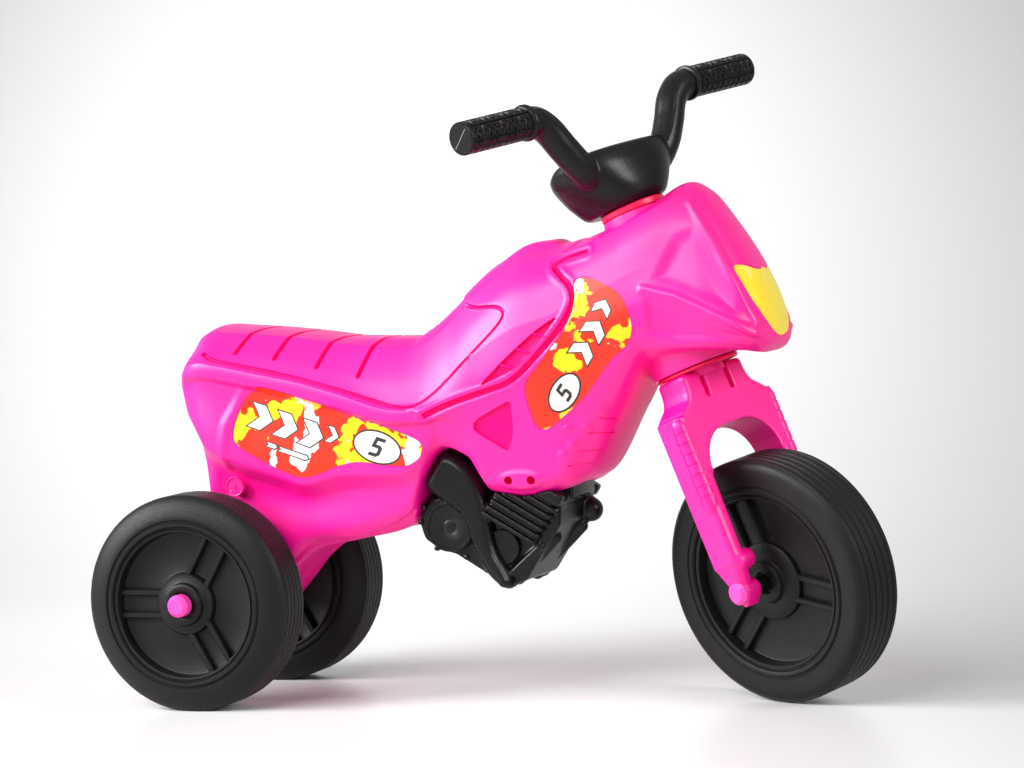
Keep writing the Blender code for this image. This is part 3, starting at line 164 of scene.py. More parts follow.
def moulded_plastic(name, colour, shade, roughness, grain, depths, specular=0.5, metallic=0.0):
    """Blow-moulded plastic: a fine grain, slow waves in the skin and a slightly uneven gloss.

    The grain is in cells to the metre, and the depths are those of the grain and the waves in metres.
    """
    material = node_material(name, colour, roughness, specular, metallic)
    shader = material.node_tree.nodes["Principled BSDF"]
    slow = object_noise(material, WAVE_SCALE, 2.0)
    fine = object_noise(material, grain, 2.0)
    tone = colour_mix(material, spread_value(material, slow, 0.0, 1.0), shade, colour)
    wire(material, tone, shader.inputs["Base Color"])
    gloss = spread_value(material, fine, roughness - 0.05, roughness + 0.07)
    wire(material, gloss, shader.inputs["Roughness"])
    bump(material, ((slow, BUMP_STRENGTH, depths[1]), (fine, BUMP_STRENGTH, depths[0])))
    return material


PINK = moulded_plastic("pink_polyethylene", (1.0, 0.0, 0.31), (0.96, 0.0, 0.27), 0.4, 1500.0,
                       (0.00006, 0.0006), specular=0.6)
# A darker, duller copy of the pink as painted shade, for the deep faces of the grooves and recesses
PAINTED_SHADE_PINK = moulded_plastic("painted_shade_pink_polyethylene", (0.92, 0.0, 0.2), (0.88, 0.0, 0.18), 0.5, 1500.0,
                            (0.00006, 0.0003), specular=0.15)
# A paler copy of the pink as a painted highlight, for the faceted dome caps that catch the lamps
PAINTED_HIGHLIGHT_PINK = moulded_plastic("painted_highlight_pink_polyethylene", (1.0, 0.07, 0.45), (0.98, 0.05, 0.4), 0.42, 1500.0,
                            (0.00006, 0.0003))
RED_PINK = moulded_plastic("red_pink_polyethylene", (0.9, 0.0, 0.09), (0.84, 0.0, 0.08), 0.38, 1500.0,
                           (0.00006, 0.0004))
TYRE = moulded_plastic("stippled_black_polyethylene", (0.005, 0.0045, 0.0045), (0.003, 0.003, 0.003), 0.46,
                       620.0, (0.0003, 0.0004), specular=0.22)
BLACK = moulded_plastic("black_polyethylene", (0.005, 0.0045, 0.0048), (0.003, 0.003, 0.003), 0.29, 1100.0,
                        (0.0001, 0.0005), specular=0.24)
CUT_BLACK = moulded_plastic("cut_black_polyethylene", (0.4, 0.37, 0.35), (0.24, 0.22, 0.2), 0.8, 1800.0,
                            (0.0002, 0.0002))
STEEL = moulded_plastic("zinc_plated_steel", (0.62, 0.62, 0.6), (0.5, 0.5, 0.5), 0.3, 900.0,
                        (0.00003, 0.0001), metallic=1.0)
INK = moulded_plastic("black_print", (0.012, 0.01, 0.01), (0.02, 0.016, 0.016), 0.42, 2500.0,
                      (0.00002, 0.0001))
WHITE_PRINT = moulded_plastic("pale_print", (0.86, 0.82, 0.76), (0.74, 0.7, 0.64), 0.42, 2500.0,
                              (0.00002, 0.0001))


def colour_over(material, source, under, colour):
    """A colour laid over another socket's colour where a factor says."""
    node = add_node(material, "ShaderNodeMix", data_type="RGBA")
    wire(material, source, node.inputs["Factor"])
    wire(material, under, node.inputs["A"])
    node.inputs["B"].default_value = (*colour, 1.0)
    return node.outputs["Result"]


# Splashes of the printed film, the lowest first: cells to the metre, detail, stretch, the noise value
# at their edge and their colour
SPLASHES = ((30.0, 6.0, (1.0, 0.2, 1.0), 0.55, (1.0, 0.62, 0.0)),
            (22.0, 7.0, (1.3, 0.2, 0.8), 0.585, (0.82, 0.78, 0.7)),
            (75.0, 5.0, (1.0, 0.2, 1.0), 0.68, (0.5, 0.46, 0.42)))
SPLASH_EDGE = 0.01
CLOUD_COLOUR = (1.0, 0.97, 0.5)
LINE_COLOUR = (0.8, 0.7, 0.3)
LINES_SCALE = 150.0


def splattered_print():
    """A red-orange film with hard-edged splashes of yellow, pale grey and white."""
    material = moulded_plastic("splattered_film", (1.0, 0.022, 0.0), (0.95, 0.016, 0.0), 0.4, 2500.0,
                               (0.00002, 0.0001))
    shader = material.node_tree.nodes["Principled BSDF"]
    colour = shader.inputs["Base Color"].links[0].from_socket
    for scale, detail, stretch, start, splash in SPLASHES:
        noise = object_noise(material, scale, detail, stretch)
        edge = spread_value(material, noise, 0.0, 1.0, start, start + SPLASH_EDGE)
        colour = colour_over(material, edge, colour, splash)
    wire(material, colour, shader.inputs["Base Color"])
    return material


def lamp_print():
    """A yellow film with pale clouds and fine upright lines."""
    material = moulded_plastic("lamp_film_print", (1.0, 0.8, 0.0), (1.0, 0.74, 0.0), 0.3, 2500.0,
                               (0.00002, 0.0001))
    shader = material.node_tree.nodes["Principled BSDF"]
    ground = shader.inputs["Base Color"].links[0].from_socket
    clouds = object_noise(material, 26.0, 3.0, (1.0, 1.6, 0.6))
    cloudy = colour_over(material, spread_value(material, clouds, 0.0, 1.0, 0.54, 0.66), ground,
                         CLOUD_COLOUR)
    lines = add_node(material, "ShaderNodeTexWave", bands_direction="Y")
    lines.inputs["Scale"].default_value = LINES_SCALE
    place = add_node(material, "ShaderNodeTexCoord")
    wire(material, place.outputs["Object"], lines.inputs["Vector"])
    fine = spread_value(material, lines.outputs["Fac"], 0.0, 0.3, 0.75, 0.95)
    wire(material, colour_over(material, fine, cloudy, LINE_COLOUR), shader.inputs["Base Color"])
    return material


PRINT = splattered_print()
LAMP = lamp_print()


# Mesh building

SHARP_ANGLE = math.radians(38.0)


def face_outwards(mesh):
    """Turn the faces of closed shapes outwards."""
    bm = bmesh.new()
    bm.from_mesh(mesh)
    bmesh.ops.recalc_face_normals(bm, faces=bm.faces)
    bm.to_mesh(mesh)
    bm.free()


def place_mesh(name, verts, faces, matrix, body, material, replaces=(), slot=None, smooth=True):
    """A mesh piece given in millimetres in its own axes, which rides on a CAD body."""
    turn = np.array(matrix)
    points = np.asarray(verts, dtype=float) @ turn[:3, :3].T + turn[:3, 3]
    mesh = bpy.data.meshes.new(name)
    mesh.from_pydata(points.tolist(), [], faces)
    face_outwards(mesh)
    mesh.materials.append(material)
    if smooth:
        mesh.polygons.foreach_set("use_smooth", [True] * len(mesh.polygons))
        mesh.set_sharp_from_angle(angle=SHARP_ANGLE)
    obj = bpy.data.objects.new(name, mesh)
    bpy.context.scene.collection.objects.link(obj)
    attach(obj, body)
    if replaces:
        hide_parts(*replaces)
    return obj


def ring_faces(rings, count):
    """Quads between rings of equal counts, whose points follow one another."""
    index = np.arange(rings * count).reshape(rings, count)
    low = index[:-1]
    high = index[1:]
    quads = [low, high, np.roll(high, -1, axis=1), np.roll(low, -1, axis=1)]
    return np.stack(quads, axis=-1).reshape(-1, 4).tolist()


def pchip_slopes(x, y):
    """Slopes of a curve through points that never overshoots them."""
    step = np.diff(x)[:, None]
    slope = np.diff(y, axis=0) / step
    result = np.zeros_like(y)
    same_way = slope[:-1] * slope[1:] > 0.0
    weight_a = 2.0 * step[1:] + step[:-1]
    weight_b = step[1:] + 2.0 * step[:-1]
    with np.errstate(divide="ignore", invalid="ignore"):
        mean = (weight_a + weight_b) / (weight_a / slope[:-1] + weight_b / slope[1:])
    result[1:-1] = np.where(same_way, mean, 0.0)
    result[0] = slope[0]
    result[-1] = slope[-1]
    return result


def cubic_run(share, step, start, end, leaving, arriving):
    """Points at shares of a cubic run of a length between two points, with the slope at each."""
    square = share * share
    cube = square * share
    return ((2.0 * cube - 3.0 * square + 1.0) * start
            + (cube - 2.0 * square + share) * step * leaving
            + (3.0 * square - 2.0 * cube) * end
            + (cube - square) * step * arriving)


def hermite(x, y, slopes, places):
    """Cubic runs between points with given slopes."""
    index = np.clip(np.searchsorted(x, places, side="right") - 1, 0, len(x) - 2)
    step = (x[index + 1] - x[index])[:, None]
    share = ((places - x[index])[:, None]) / step
    return cubic_run(share, step, y[index], y[index + 1], slopes[index], slopes[index + 1])


def revolve(profile, segments):
    """Points and faces of a closed profile of radius and distance along the axis, turned about +Y."""
    angles = np.arange(segments) * (2.0 * math.pi / segments)
    radius, height = np.array(profile).T
    points = np.stack([np.cos(angles)[:, None] * radius, np.repeat(height[None, :], segments, axis=0),
                       np.sin(angles)[:, None] * radius], axis=-1)
    count = len(profile)
    index = np.arange(segments * count).reshape(segments, count)
    after = np.roll(index, -1, axis=0)
    quads = np.stack([index, after, np.roll(after, -1, axis=1), np.roll(index, -1, axis=1)], axis=-1)
    return points.reshape(-1, 3), quads.reshape(-1, 4).tolist()


def turn_about_y(angle):
    """Rotation about the local Y axis."""
    return np.array(Matrix.Rotation(angle, 3, "Y"))


# Shapes: lists of points in millimetres with the faces between them

EDGE_ANGLE = math.radians(30.0)
CAP_STEPS = 6
CAP_TIP = 0.02


def solid(verts, faces, bevel=0.0, steps=3):
    """A closed shape, with its edges rounded if a bevel is given."""
    bm = bmesh.new()
    placed = [bm.verts.new(point) for point in verts]
    for face in faces:
        bm.faces.new([placed[index] for index in face])
    bmesh.ops.recalc_face_normals(bm, faces=bm.faces)
    if bevel:
        edges = [edge for edge in bm.edges if edge.calc_face_angle(0.0) > EDGE_ANGLE]
        bmesh.ops.bevel(bm, geom=edges, offset=bevel, segments=steps, profile=0.5, affect="EDGES",
                        clamp_overlap=True)
    bm.verts.index_update()
    result = [tuple(vert.co) for vert in bm.verts], [[vert.index for vert in face.verts] for face in bm.faces]
    bm.free()
    return result


def combined(shapes):
    """Several shapes as one."""
    verts = []
    faces = []
    for points, sides in shapes:
        base = len(verts)
        verts += [tuple(point) for point in points]
        faces += [[base + index for index in side] for side in sides]
    return verts, faces


def moved(shape, matrix):
    """A shape placed by a matrix."""
    verts, faces = shape
    return [tuple(matrix @ Vector(point)) for point in verts], faces


def lofted(rings):
    """A closed skin through rings of equal counts, with a flat cap at each end."""
    count = len(rings[0])
    verts = [tuple(point) for ring in rings for point in ring]
    faces = ring_faces(len(rings), count)
    last = (len(rings) - 1) * count
    faces.append(list(range(count - 1, -1, -1)))
    faces.append(list(range(last, last + count)))
    return verts, faces


def prism(outline, low, high, plane, bevel=0.0, steps=3):
    """A flat outline pulled out along the axis that its plane leaves, from low to high."""
    if plane == "XZ":
        rings = [[(first, depth, second) for first, second in outline] for depth in (low, high)]
    elif plane == "YZ":
        rings = [[(depth, first, second) for first, second in outline] for depth in (low, high)]
    else:
        rings = [[(first, second, depth) for first, second in outline] for depth in (low, high)]
    return solid(*lofted(rings), bevel, steps)


def box(low, high):
    """A box between two corners."""
    outline = ((low[0], low[1]), (high[0], low[1]), (high[0], high[1]), (low[0], high[1]))
    return prism(outline, low[2], high[2], "XY")


def sweep(points, radii, segments, up=(0.0, 0.0, 1.0), flat=1.0):
    """A round or flattened tube along a list of points, with a radius at each."""
    places = np.array(points, dtype=float)
    tangents = np.gradient(places, axis=0)
    tangents /= np.linalg.norm(tangents, axis=1, keepdims=True)
    angles = np.arange(segments) * (2.0 * math.pi / segments)
    side = np.array(up, dtype=float)
    rings = []
    for place, tangent, radius in zip(places, tangents, np.broadcast_to(radii, len(places))):
        side = side - tangent * side.dot(tangent)
        side /= np.linalg.norm(side)
        across = np.cross(tangent, side)
        ring = np.cos(angles)[:, None] * side * flat + np.sin(angles)[:, None] * across
        rings.append(place + radius * ring)
    return lofted(rings)


def capsule(start, end, radius, end_radius=None, segments=24):
    """A rod with round ends, tapered if a second radius is given."""
    start = np.array(start, dtype=float)
    end = np.array(end, dtype=float)
    last = radius if end_radius is None else end_radius
    way = (end - start) / np.linalg.norm(end - start)
    turns = [math.pi / 2.0 * index / CAP_STEPS for index in range(CAP_STEPS)]
    shares = [max(math.sin(turn), CAP_TIP) for turn in turns]
    points = [start - way * radius * math.cos(turn) for turn in turns] + [start, end]
    points += [end + way * last * math.cos(turn) for turn in reversed(turns)]
    radii = [radius * share for share in shares] + [radius, last]
    radii += [last * share for share in reversed(shares)]
    return sweep(points, radii, segments, up=(0.3, 0.5, 0.81))


def smooth_path(points, count):
    """A smooth curve through points, with a number of places along it."""
    places = np.array(points, dtype=float)
    run = np.concatenate([[0.0], np.cumsum(np.linalg.norm(np.diff(places, axis=0), axis=1))])
    slopes = np.gradient(places, run, axis=0)
    return hermite(run, places, slopes, np.linspace(0.0, run[-1], count))


def turned(profile, place=(0.0, 0.0, 0.0), side=1.0, segments=48):
    """A closed profile of radius and distance turned about a line along Y."""
    points, faces = revolve(profile, segments)
    points = points * (1.0, side, 1.0) + np.array(place)
    return points.tolist(), faces


def scratch_object(shape):
    """A throwaway object of a shape, in millimetres."""
    mesh = bpy.data.meshes.new("scratch")
    mesh.from_pydata(list(shape[0]), [], list(shape[1]))
    face_outwards(mesh)
    obj = bpy.data.objects.new("scratch", mesh)
    bpy.context.scene.collection.objects.link(obj)
    return obj


def evaluated_shape(obj):
    """The points and faces of an object after its modifiers."""
    bpy.context.view_layer.update()
    result = obj.evaluated_get(bpy.context.evaluated_depsgraph_get())
    mesh = result.to_mesh()
    verts = np.empty(len(mesh.vertices) * 3)
    mesh.vertices.foreach_get("co", verts)
    faces = [list(polygon.vertices) for polygon in mesh.polygons]
    result.to_mesh_clear()
    return verts.reshape(-1, 3).tolist(), faces


def add_cuts(obj, tools):
    """Cuts of a throwaway object by others."""
    for tool in tools:
        modifier = obj.modifiers.new("cut", "BOOLEAN")
        modifier.operation = "DIFFERENCE"
        modifier.solver = "MANIFOLD"
        modifier.object = tool


def add_remesh(obj, voxel):
    """A voxel remesh of a throwaway object."""
    remesh = obj.modifiers.new("skin", "REMESH")
    remesh.mode = "VOXEL"
    remesh.voxel_size = voxel


def used_up(obj, tools):
    """The final shape of a throwaway object, which is removed together with its tools."""
    result = evaluated_shape(obj)
    for spare in [obj] + tools:
        bpy.data.objects.remove(spare, do_unlink=True)
    return result


def carved(shape, cutters):
    """A closed shape with others cut out of it."""
    target = scratch_object(shape)
    tools = [scratch_object(cutter) for cutter in cutters]
    add_cuts(target, tools)
    return used_up(target, tools)


def fused(shapes, voxel, smoothing, cutters=()):
    """One soft-edged skin round overlapping shapes, less the cutters, as blow moulding leaves it."""
    whole = scratch_object(combined(shapes))
    tools = [scratch_object(cutter) for cutter in cutters]
    add_remesh(whole, voxel)
    add_cuts(whole, tools)
    if tools:
        add_remesh(whole, voxel)
    soften = whole.modifiers.new("soften", "SMOOTH")
    soften.factor = 0.5
    soften.iterations = smoothing
    return used_up(whole, tools)


# Body

# Half sections at stations along X. Each row is x and then y, z of the spine, the crown's middle and
# edge, the shoulder, the pad's edge, the rim's top and bottom, the panel's top and bottom, the waist,
# the skirt, the keel's edge and the keel.
BODY_SECTIONS = (
    (-39.0, (0, 269.5), (3, 269.3), (5, 269), (6.5, 268.5), (7.5, 268), (8, 267.5), (8, 263), (7.8, 262),
     (7.5, 260.5), (7, 259.5), (6, 258.5), (4, 258), (0, 257.8)),
    (-35.5, (0, 281), (7, 280.5), (11, 279.5), (14.5, 276.5), (16.5, 273.5), (17, 271.5), (17, 263),
     (16.5, 260), (15, 254), (13, 251.5), (11, 250), (7, 249), (0, 248.5)),
    (-31.5, (0, 288), (10, 287.3), (16, 285.5), (22, 281), (25.5, 276.5), (27, 274), (27, 266), (26, 262.5),
     (21, 250.5), (17, 247), (13, 245), (8, 244), (0, 243.5)),
    (-26.0, (0, 297.5), (12, 296.5), (20, 294.5), (29, 288.5), (36, 282.5), (39, 279), (39, 271), (37.5, 267),
     (29.5, 247.5), (23.5, 242), (18, 239), (11, 237.5), (0, 237)),
    (-18.0, (0, 306), (12, 305), (21, 302.5), (37, 296), (47, 289), (53.5, 284), (54.5, 275), (53, 270),
     (45, 246), (34.5, 238), (25, 231), (15, 227), (0, 226)),
    (-8.0, (0, 317.5), (20, 316), (33, 313), (46, 303), (58, 296), (64, 291), (65, 281), (61, 277),
     (56.5, 240), (45.5, 226), (34, 214), (22, 205), (0, 203)),
    (6.0, (0, 323), (24, 321), (38, 317.5), (55, 306), (65, 297), (70, 293), (70, 282), (66, 278),
     (64, 222), (50, 206), (47, 110), (40, 86), (0, 84)),
    (20.0, (0, 322), (24, 320), (38, 317), (56, 304), (66, 294), (71, 291), (71, 280), (67, 276),
     (65, 213), (50, 200), (47, 86), (40, 70), (0, 70)),
    (36.0, (0, 320.5), (24, 319), (38, 316), (56, 301.5), (66, 291), (71, 288), (71, 277), (67, 272.5),
     (64.5, 206), (50, 194), (47, 92), (40, 79), (0, 79)),
    (55.0, (0, 319), (24, 317.5), (38, 314.5), (56, 299), (66, 287), (71, 284), (71, 273), (66, 269),
     (64, 200), (50, 188), (47, 111), (40, 98), (0, 98)),
    (75.0, (0, 316.8), (24, 315.3), (38, 312.3), (56, 295.5), (66, 283), (71, 280), (71, 268.5), (66, 264.5),
     (64, 194), (50, 182), (47.5, 132), (40, 120), (0, 120)),
    (95.0, (0, 314.5), (24, 313), (38, 310), (56, 292), (66, 279), (71, 276), (71, 264), (66, 260),
     (64, 188), (50, 176), (48, 144), (40, 133.5), (0, 133.5)),
    (130.0, (0, 310), (24, 308.5), (38, 305), (56, 284), (66, 270), (71, 266), (71, 255), (65, 251),
     (63, 196), (51, 182), (49, 150), (42, 141), (0, 141)),
    (186.0, (0, 308.5), (22, 307), (38, 300), (56, 275), (66, 255), (71, 250), (71, 241), (65, 237),
     (62, 197), (53, 184), (50, 167), (43, 156), (0, 155)),
    (202.0, (0, 317), (20, 314.5), (37, 305), (54.5, 279), (65, 256), (70, 249), (70, 241), (65, 237),
     (61, 205), (57, 200), (53, 197), (44, 194), (0, 193)),
    (221.0, (0, 333), (19, 329), (35, 317), (52, 290), (64, 264), (68, 252), (68, 244), (64, 239),
     (61, 230), (58, 224), (54, 219), (45, 217), (0, 217)),
    (243.0, (0, 353), (18, 349), (33, 338), (50, 312), (62, 286), (67, 262), (67, 250), (63, 238),
     (60, 226), (57, 217), (54, 211), (46, 208), (0, 208)),
    (260.0, (0, 366), (17, 362), (32, 350), (50, 326), (62, 297), (66, 272), (66, 256), (62, 235),
     (59, 214), (57, 198), (54, 188), (47, 182), (0, 182)),
    (290.0, (0, 378), (17, 375), (31, 367), (50, 345), (62, 315), (66, 288), (65, 266), (61, 238),
     (58, 214), (56, 198), (54, 186), (48, 178), (0, 177)),
    (325.0, (0, 382), (17, 380), (31, 374), (49, 355), (60, 326), (64, 298), (63, 274), (59, 244),
     (56, 220), (55, 203), (53, 193), (46, 185), (0, 184)),
    (346.0, (0, 388), (17, 387), (32, 382), (47, 364), (57, 338), (62, 308), (61, 283), (57, 258),
     (54, 240), (53, 231), (51, 224), (36, 198), (0, 190)),
    (376.0, (0, 400), (18, 399), (34, 394), (46, 377), (56, 350), (61, 322), (60, 299), (56, 281),
     (53, 272), (51, 267), (49, 262), (34, 247), (0, 239)),
    (403.0, (0, 414), (18, 413), (34, 407), (44, 391), (53, 362), (59, 334), (58, 314), (55, 303),
     (53, 299), (52, 297), (50, 295), (38, 288), (0, 285)),
    (431.0, (0, 429), (14, 427), (27, 418), (38, 400), (49, 366), (58, 338), (57, 322), (54, 308),
     (53, 303), (52, 299), (50, 296), (40, 292), (0, 291)),
    (446.0, (0, 422), (20, 417), (36, 402), (43, 386), (50, 360), (58, 331), (57, 318), (54, 307),
     (53, 302), (52, 299), (50, 296), (40, 293), (0, 292)),
    (462.0, (0, 402), (23, 396), (42, 377), (46, 364), (51, 346), (58, 323), (56, 312), (53, 304),
     (52, 300), (50, 297), (48, 295), (38, 293), (0, 292)),
    (480.0, (0, 374), (26, 367), (47, 345), (49, 337), (52, 328), (57, 315), (54, 307), (50, 301),
     (48, 298), (46, 296), (44, 294), (34, 292), (0, 291)),
    (494.0, (0, 347), (24, 341), (42, 319), (46, 312), (49, 309), (51, 306), (49, 303), (46, 299),
     (43, 296), (40, 294), (37, 292), (28, 290), (0, 289)),
    (500.0, (0, 331), (18, 327), (30, 316), (34, 311), (36, 307), (37, 304), (36, 301), (34, 299),
     (32, 297), (30, 296), (27, 295), (20, 294), (0, 293)),
    (503.5, (0, 318), (8, 316), (13, 312), (15, 310), (16, 308), (16, 306), (15, 304), (14, 303),
     (13, 302), (12, 301), (10, 300), (7, 299.4), (0, 299)),
)
# How sharp the body's section turns at each of those points, from 0 for smooth to 1 for a crease
RAIL_SHARPNESS = (0.0, 0.0, 0.75, 0.0, 0.8, 0.4, 0.4, 0.75, 0.55, 0.3, 0.3, 0.2, 0.0)
BODY_STEP = 1.9
# How much wider the points lie apart on the spans of the section that face down
SPAN_COARSENESS = (1.0, 1.0, 1.0, 1.0, 1.0, 1.0, 1.0, 1.0, 1.3, 1.6, 2.0, 2.4)


def body_grid():
    """Points of the left half of the body's skin: a row for each station, from spine to keel."""
    stations = np.array([row[0] for row in BODY_SECTIONS], dtype=float)
    rails = np.array([row[1:] for row in BODY_SECTIONS], dtype=float)
    flat = rails.reshape(len(stations), -1)
    moves = np.linalg.norm(np.diff(rails[:, :9], axis=0), axis=2).max(axis=1)
    moves = np.hypot(moves, np.diff(stations))
    places = [stations[:1]]
    for low, high, move in zip(stations, stations[1:], moves):
        count = max(2, int(math.ceil(move / BODY_STEP)))
        places.append(np.linspace(low, high, count + 1)[1:])
    places = np.concatenate(places)
    fine = hermite(stations, flat, pchip_slopes(stations, flat), places).reshape(len(places), -1, 2)
    spans = np.linalg.norm(np.diff(rails, axis=1), axis=2).max(axis=0)
    counts = [max(3, int(math.ceil(span / BODY_STEP / coarse)))
              for span, coarse in zip(spans, SPAN_COARSENESS)]
    return places, section_points(fine, counts)


def section_points(fine, counts):
    """Each station's half section, rounded at its points as their sharpness says."""
    spans = np.linalg.norm(np.diff(fine, axis=1), axis=2)[:, :, None] + 1e-6
    chords = np.diff(fine, axis=1) / spans
    before = np.concatenate([chords[:, :1], chords], axis=1)
    after = np.concatenate([chords, chords[:, -1:]], axis=1)
    before[:, 0] = after[:, 0] * (1.0, -1.0)
    after[:, -1] = before[:, -1] * (1.0, -1.0)
    weight_before = np.concatenate([spans[:, :1], spans], axis=1)
    weight_after = np.concatenate([spans, spans[:, -1:]], axis=1)
    smooth = (before * weight_after + after * weight_before) / (weight_before + weight_after)
    sharp = np.array(RAIL_SHARPNESS)[None, :, None]
    leaving = smooth * (1.0 - sharp) + after * sharp
    arriving = smooth * (1.0 - sharp) + before * sharp
    pieces = []
    for index, count in enumerate(counts):
        share = np.linspace(0.0, 1.0, count + 1)[(0 if index == 0 else 1):][None, :, None]
        pieces.append(cubic_run(share, spans[:, index, None], fine[:, index, None], fine[:, index + 1, None],
                                leaving[:, index, None], arriving[:, index + 1, None]))
    return np.concatenate(pieces, axis=1)


def smooth_step(low, high, value):
    """0 below low and 1 above high, with an eased run between them."""
    share = np.clip((value - low) / (high - low), 0.0, 1.0)
    return share * share * (3.0 - 2.0 * share)


def between(start, end, share):
    """The point at a share of the way between two flat points."""
    return start[0] + (end[0] - start[0]) * share, start[1] + (end[1] - start[1]) * share


def line_distance(x, z, line, closed=False):
    """Distance of points from a line of straight runs in the side view."""
    points = [np.array(point, dtype=float) for point in line]
    if closed:
        points.append(points[0])
    best = np.full(x.shape, 1e9)
    for start, end in zip(points, points[1:]):
        run = end - start
        share = np.clip(((x - start[0]) * run[0] + (z - start[1]) * run[1]) / run.dot(run), 0.0, 1.0)
        best = np.minimum(best, np.hypot(x - start[0] - share * run[0], z - start[1] - share * run[1]))
    return best


def inside(x, z, outline):
    """True where points lie inside an outline in the side view."""
    result = np.zeros(x.shape, dtype=bool)
    count = len(outline)
    for index in range(count):
        ax, az = outline[index]
        bx, bz = outline[(index + 1) % count]
        if az == bz:
            continue
        crosses = ((az > z) != (bz > z)) & (x < (bx - ax) * (z - az) / (bz - az) + ax)
        result ^= crosses
    return result


def depth_inside(x, z, outline):
    """Distance inside an outline, negative outside it."""
    distance = line_distance(x, z, outline, closed=True)
    return np.where(inside(x, z, outline), distance, -distance)


def rounded_line(points, rounds=2):
    """A line of straight runs with its corners cut a few times, its ends kept."""
    line = [tuple(map(float, point)) for point in points]
    for _ in range(rounds):
        cut = [line[0]]
        for start, end in zip(line, line[1:]):
            cut += [between(start, end, 0.25), between(start, end, 0.75)]
        cut.append(line[-1])
        line = cut
    return line


# Lines on the body's side view
PAD_EDGE = ((6, 301), (16, 295), (59, 287), (95, 279), (129, 270), (164, 259), (185, 253), (198, 251),
            (216, 260), (236, 278), (251, 293), (267, 308), (281, 322), (283, 330), (274, 334), (250, 332),
            (238, 336), (226, 340))
TANK_EDGE = ((211, 245), (234, 255), (264, 264), (291, 272), (312, 292), (334, 315), (345, 335), (341, 349),
             (331, 357), (321, 365), (327, 370), (352, 376))
TANK_REGION = ((226, 345), (238, 336), (250, 332), (274, 334), (283, 330), (281, 322), (267, 308), (251, 293),
               (236, 278), (216, 260), (198, 251), (211, 245), (234, 255), (264, 264), (291, 272), (312, 292),
               (334, 315), (345, 335), (341, 349), (331, 357), (321, 365), (327, 372), (352, 400), (226, 400))
VENT = ((262, 269.5), (268, 271), (294, 282), (307, 293.8), (321, 309.8), (332.5, 326.2), (313, 314.5),
        (286, 292.1))
VENT_RIBS = (((311.0, 311.2), (321.8, 308.2)), ((295.9, 299.4), (308.0, 295.6)),
             ((282.0, 286.6), (293.5, 283.0)))
TRIANGLE = ((246, 236), (285, 256.5), (288, 255), (288, 230), (282.5, 215.5), (279.5, 215.0))
SEAT_GROOVES = (42.0, 78.0, 117.0, 155.0)
CREASE_ACROSS = 38.0
LEG_SHOULDER = ((40, 96), (95.6, 141.1), (133.3, 141.4), (171.1, 154), (200, 172), (200, 100), (60, 40))
DOWN_TUBE = ((345, 190), (352, 205), (375, 242), (403, 281), (430, 281), (430, 190))
TUBE_LINES = (((359.5, 240.3), (369.8, 237.7)), ((349.3, 227.6), (365.8, 226.6)),
              ((339.5, 213.0), (356.1, 212.8)), ((331.4, 201.1), (348.1, 202.6)))
REAR_RIDGE = ((46, 268), (36, 252), (28, 240), (24, 222), (22.5, 205))
HOOD_FRONT_RIDGE = ((438, 414), (446, 402), (462, 377), (480, 345), (494, 314))
HOOD_SIDE_RIDGE = ((404, 345), (430, 338), (446, 331), (462, 323), (480, 315), (496, 307))
HOOD_FACET = ((404, 348), (425, 392), (446, 402), (462, 377), (480, 345), (494, 312), (446, 331))
HOOD_CHIN = ((404, 341), (446, 327), (494, 303), (470, 299), (430, 300), (404, 306))
SCREW_PAD = (290.0, 190.0)
SCREW_HOLES = (280.0, 300.0)
SMALL_BUMPS = ((334.2, 232.7), (349.9, 232.9), (337.0, 218.3), (327.9, 211.0), (363.5, 245.8))
# Swellings of the side view: middle, half length and half height, rise
SWELLINGS = ((SCREW_PAD, (25.0, 11.0), 2.4),) + tuple((place, (5.0, 3.2), 1.1) for place in SMALL_BUMPS)
# Ridges: line, rise, reach and whether only the skin that faces sideways has them
RIDGES = ((REAR_RIDGE, 1.7, 8.0, True), (HOOD_FRONT_RIDGE, 1.9, 5.5, False),
          (HOOD_SIDE_RIDGE, 1.9, 5.5, False))
# Sunk areas: outline, depth, the distances inside it between which the skin slopes down, and the same
HOLLOWS = ((LEG_SHOULDER, 3.2, 0.0, 2.6, True), (DOWN_TUBE, 3.0, 0.0, 2.8, True),
           (HOOD_FACET, 2.6, 2.0, 16.0, False), (HOOD_CHIN, 2.2, 0.0, 9.0, True))
TANK_FOOT = 236.0
TANK_RISE = 1.5
RIM_OFFSET = 4.8
RIM_REACH = 2.6
RIM_RISE = 0.9
HUMP_FOOT = 300.0
HUMP_RISE = 4.5
FILM_RECESS = 0.7
LAMP_GROWTH = 0.7
CUT_LIFT = 4.0
GROOVE_RADIUS = 2.1
GROOVE_FLATNESS = 1.9
GROOVE_REACH = 57.0
PAD_GROOVE = 1.9
TANK_GROOVE = 2.7
FINE_GROOVE = 0.8
LINE_STEP = 2.5
EVEN_REACH = 4
VENT_DEPTH = 3.4
TRIANGLE_DEPTH = 2.6
SCREW_HOLE = ((0.0, 48.5), (3.7, 48.5), (3.7, 80.0), (0.0, 80.0))
# Cut faces that lie deeper than this below the skin get little light, so they are given a darker pink as
# painted shade
DEEP_FROM = 1.0
DIAL = (26.1, 186.0)
DIAL_RADIUS = 8.2
DIAL_FACE = 49.5
DIAL_PLATE = DIAL_FACE + 2.4
DIAL_TICKS = 16


def swell(x, z, middle, size):
    """An oval swelling of the side view: 1 at its middle and 0 from its edge on."""
    away = np.hypot((x - middle[0]) / size[0], (z - middle[1]) / size[1])
    return 1.0 - smooth_step(0.45, 1.0, away)


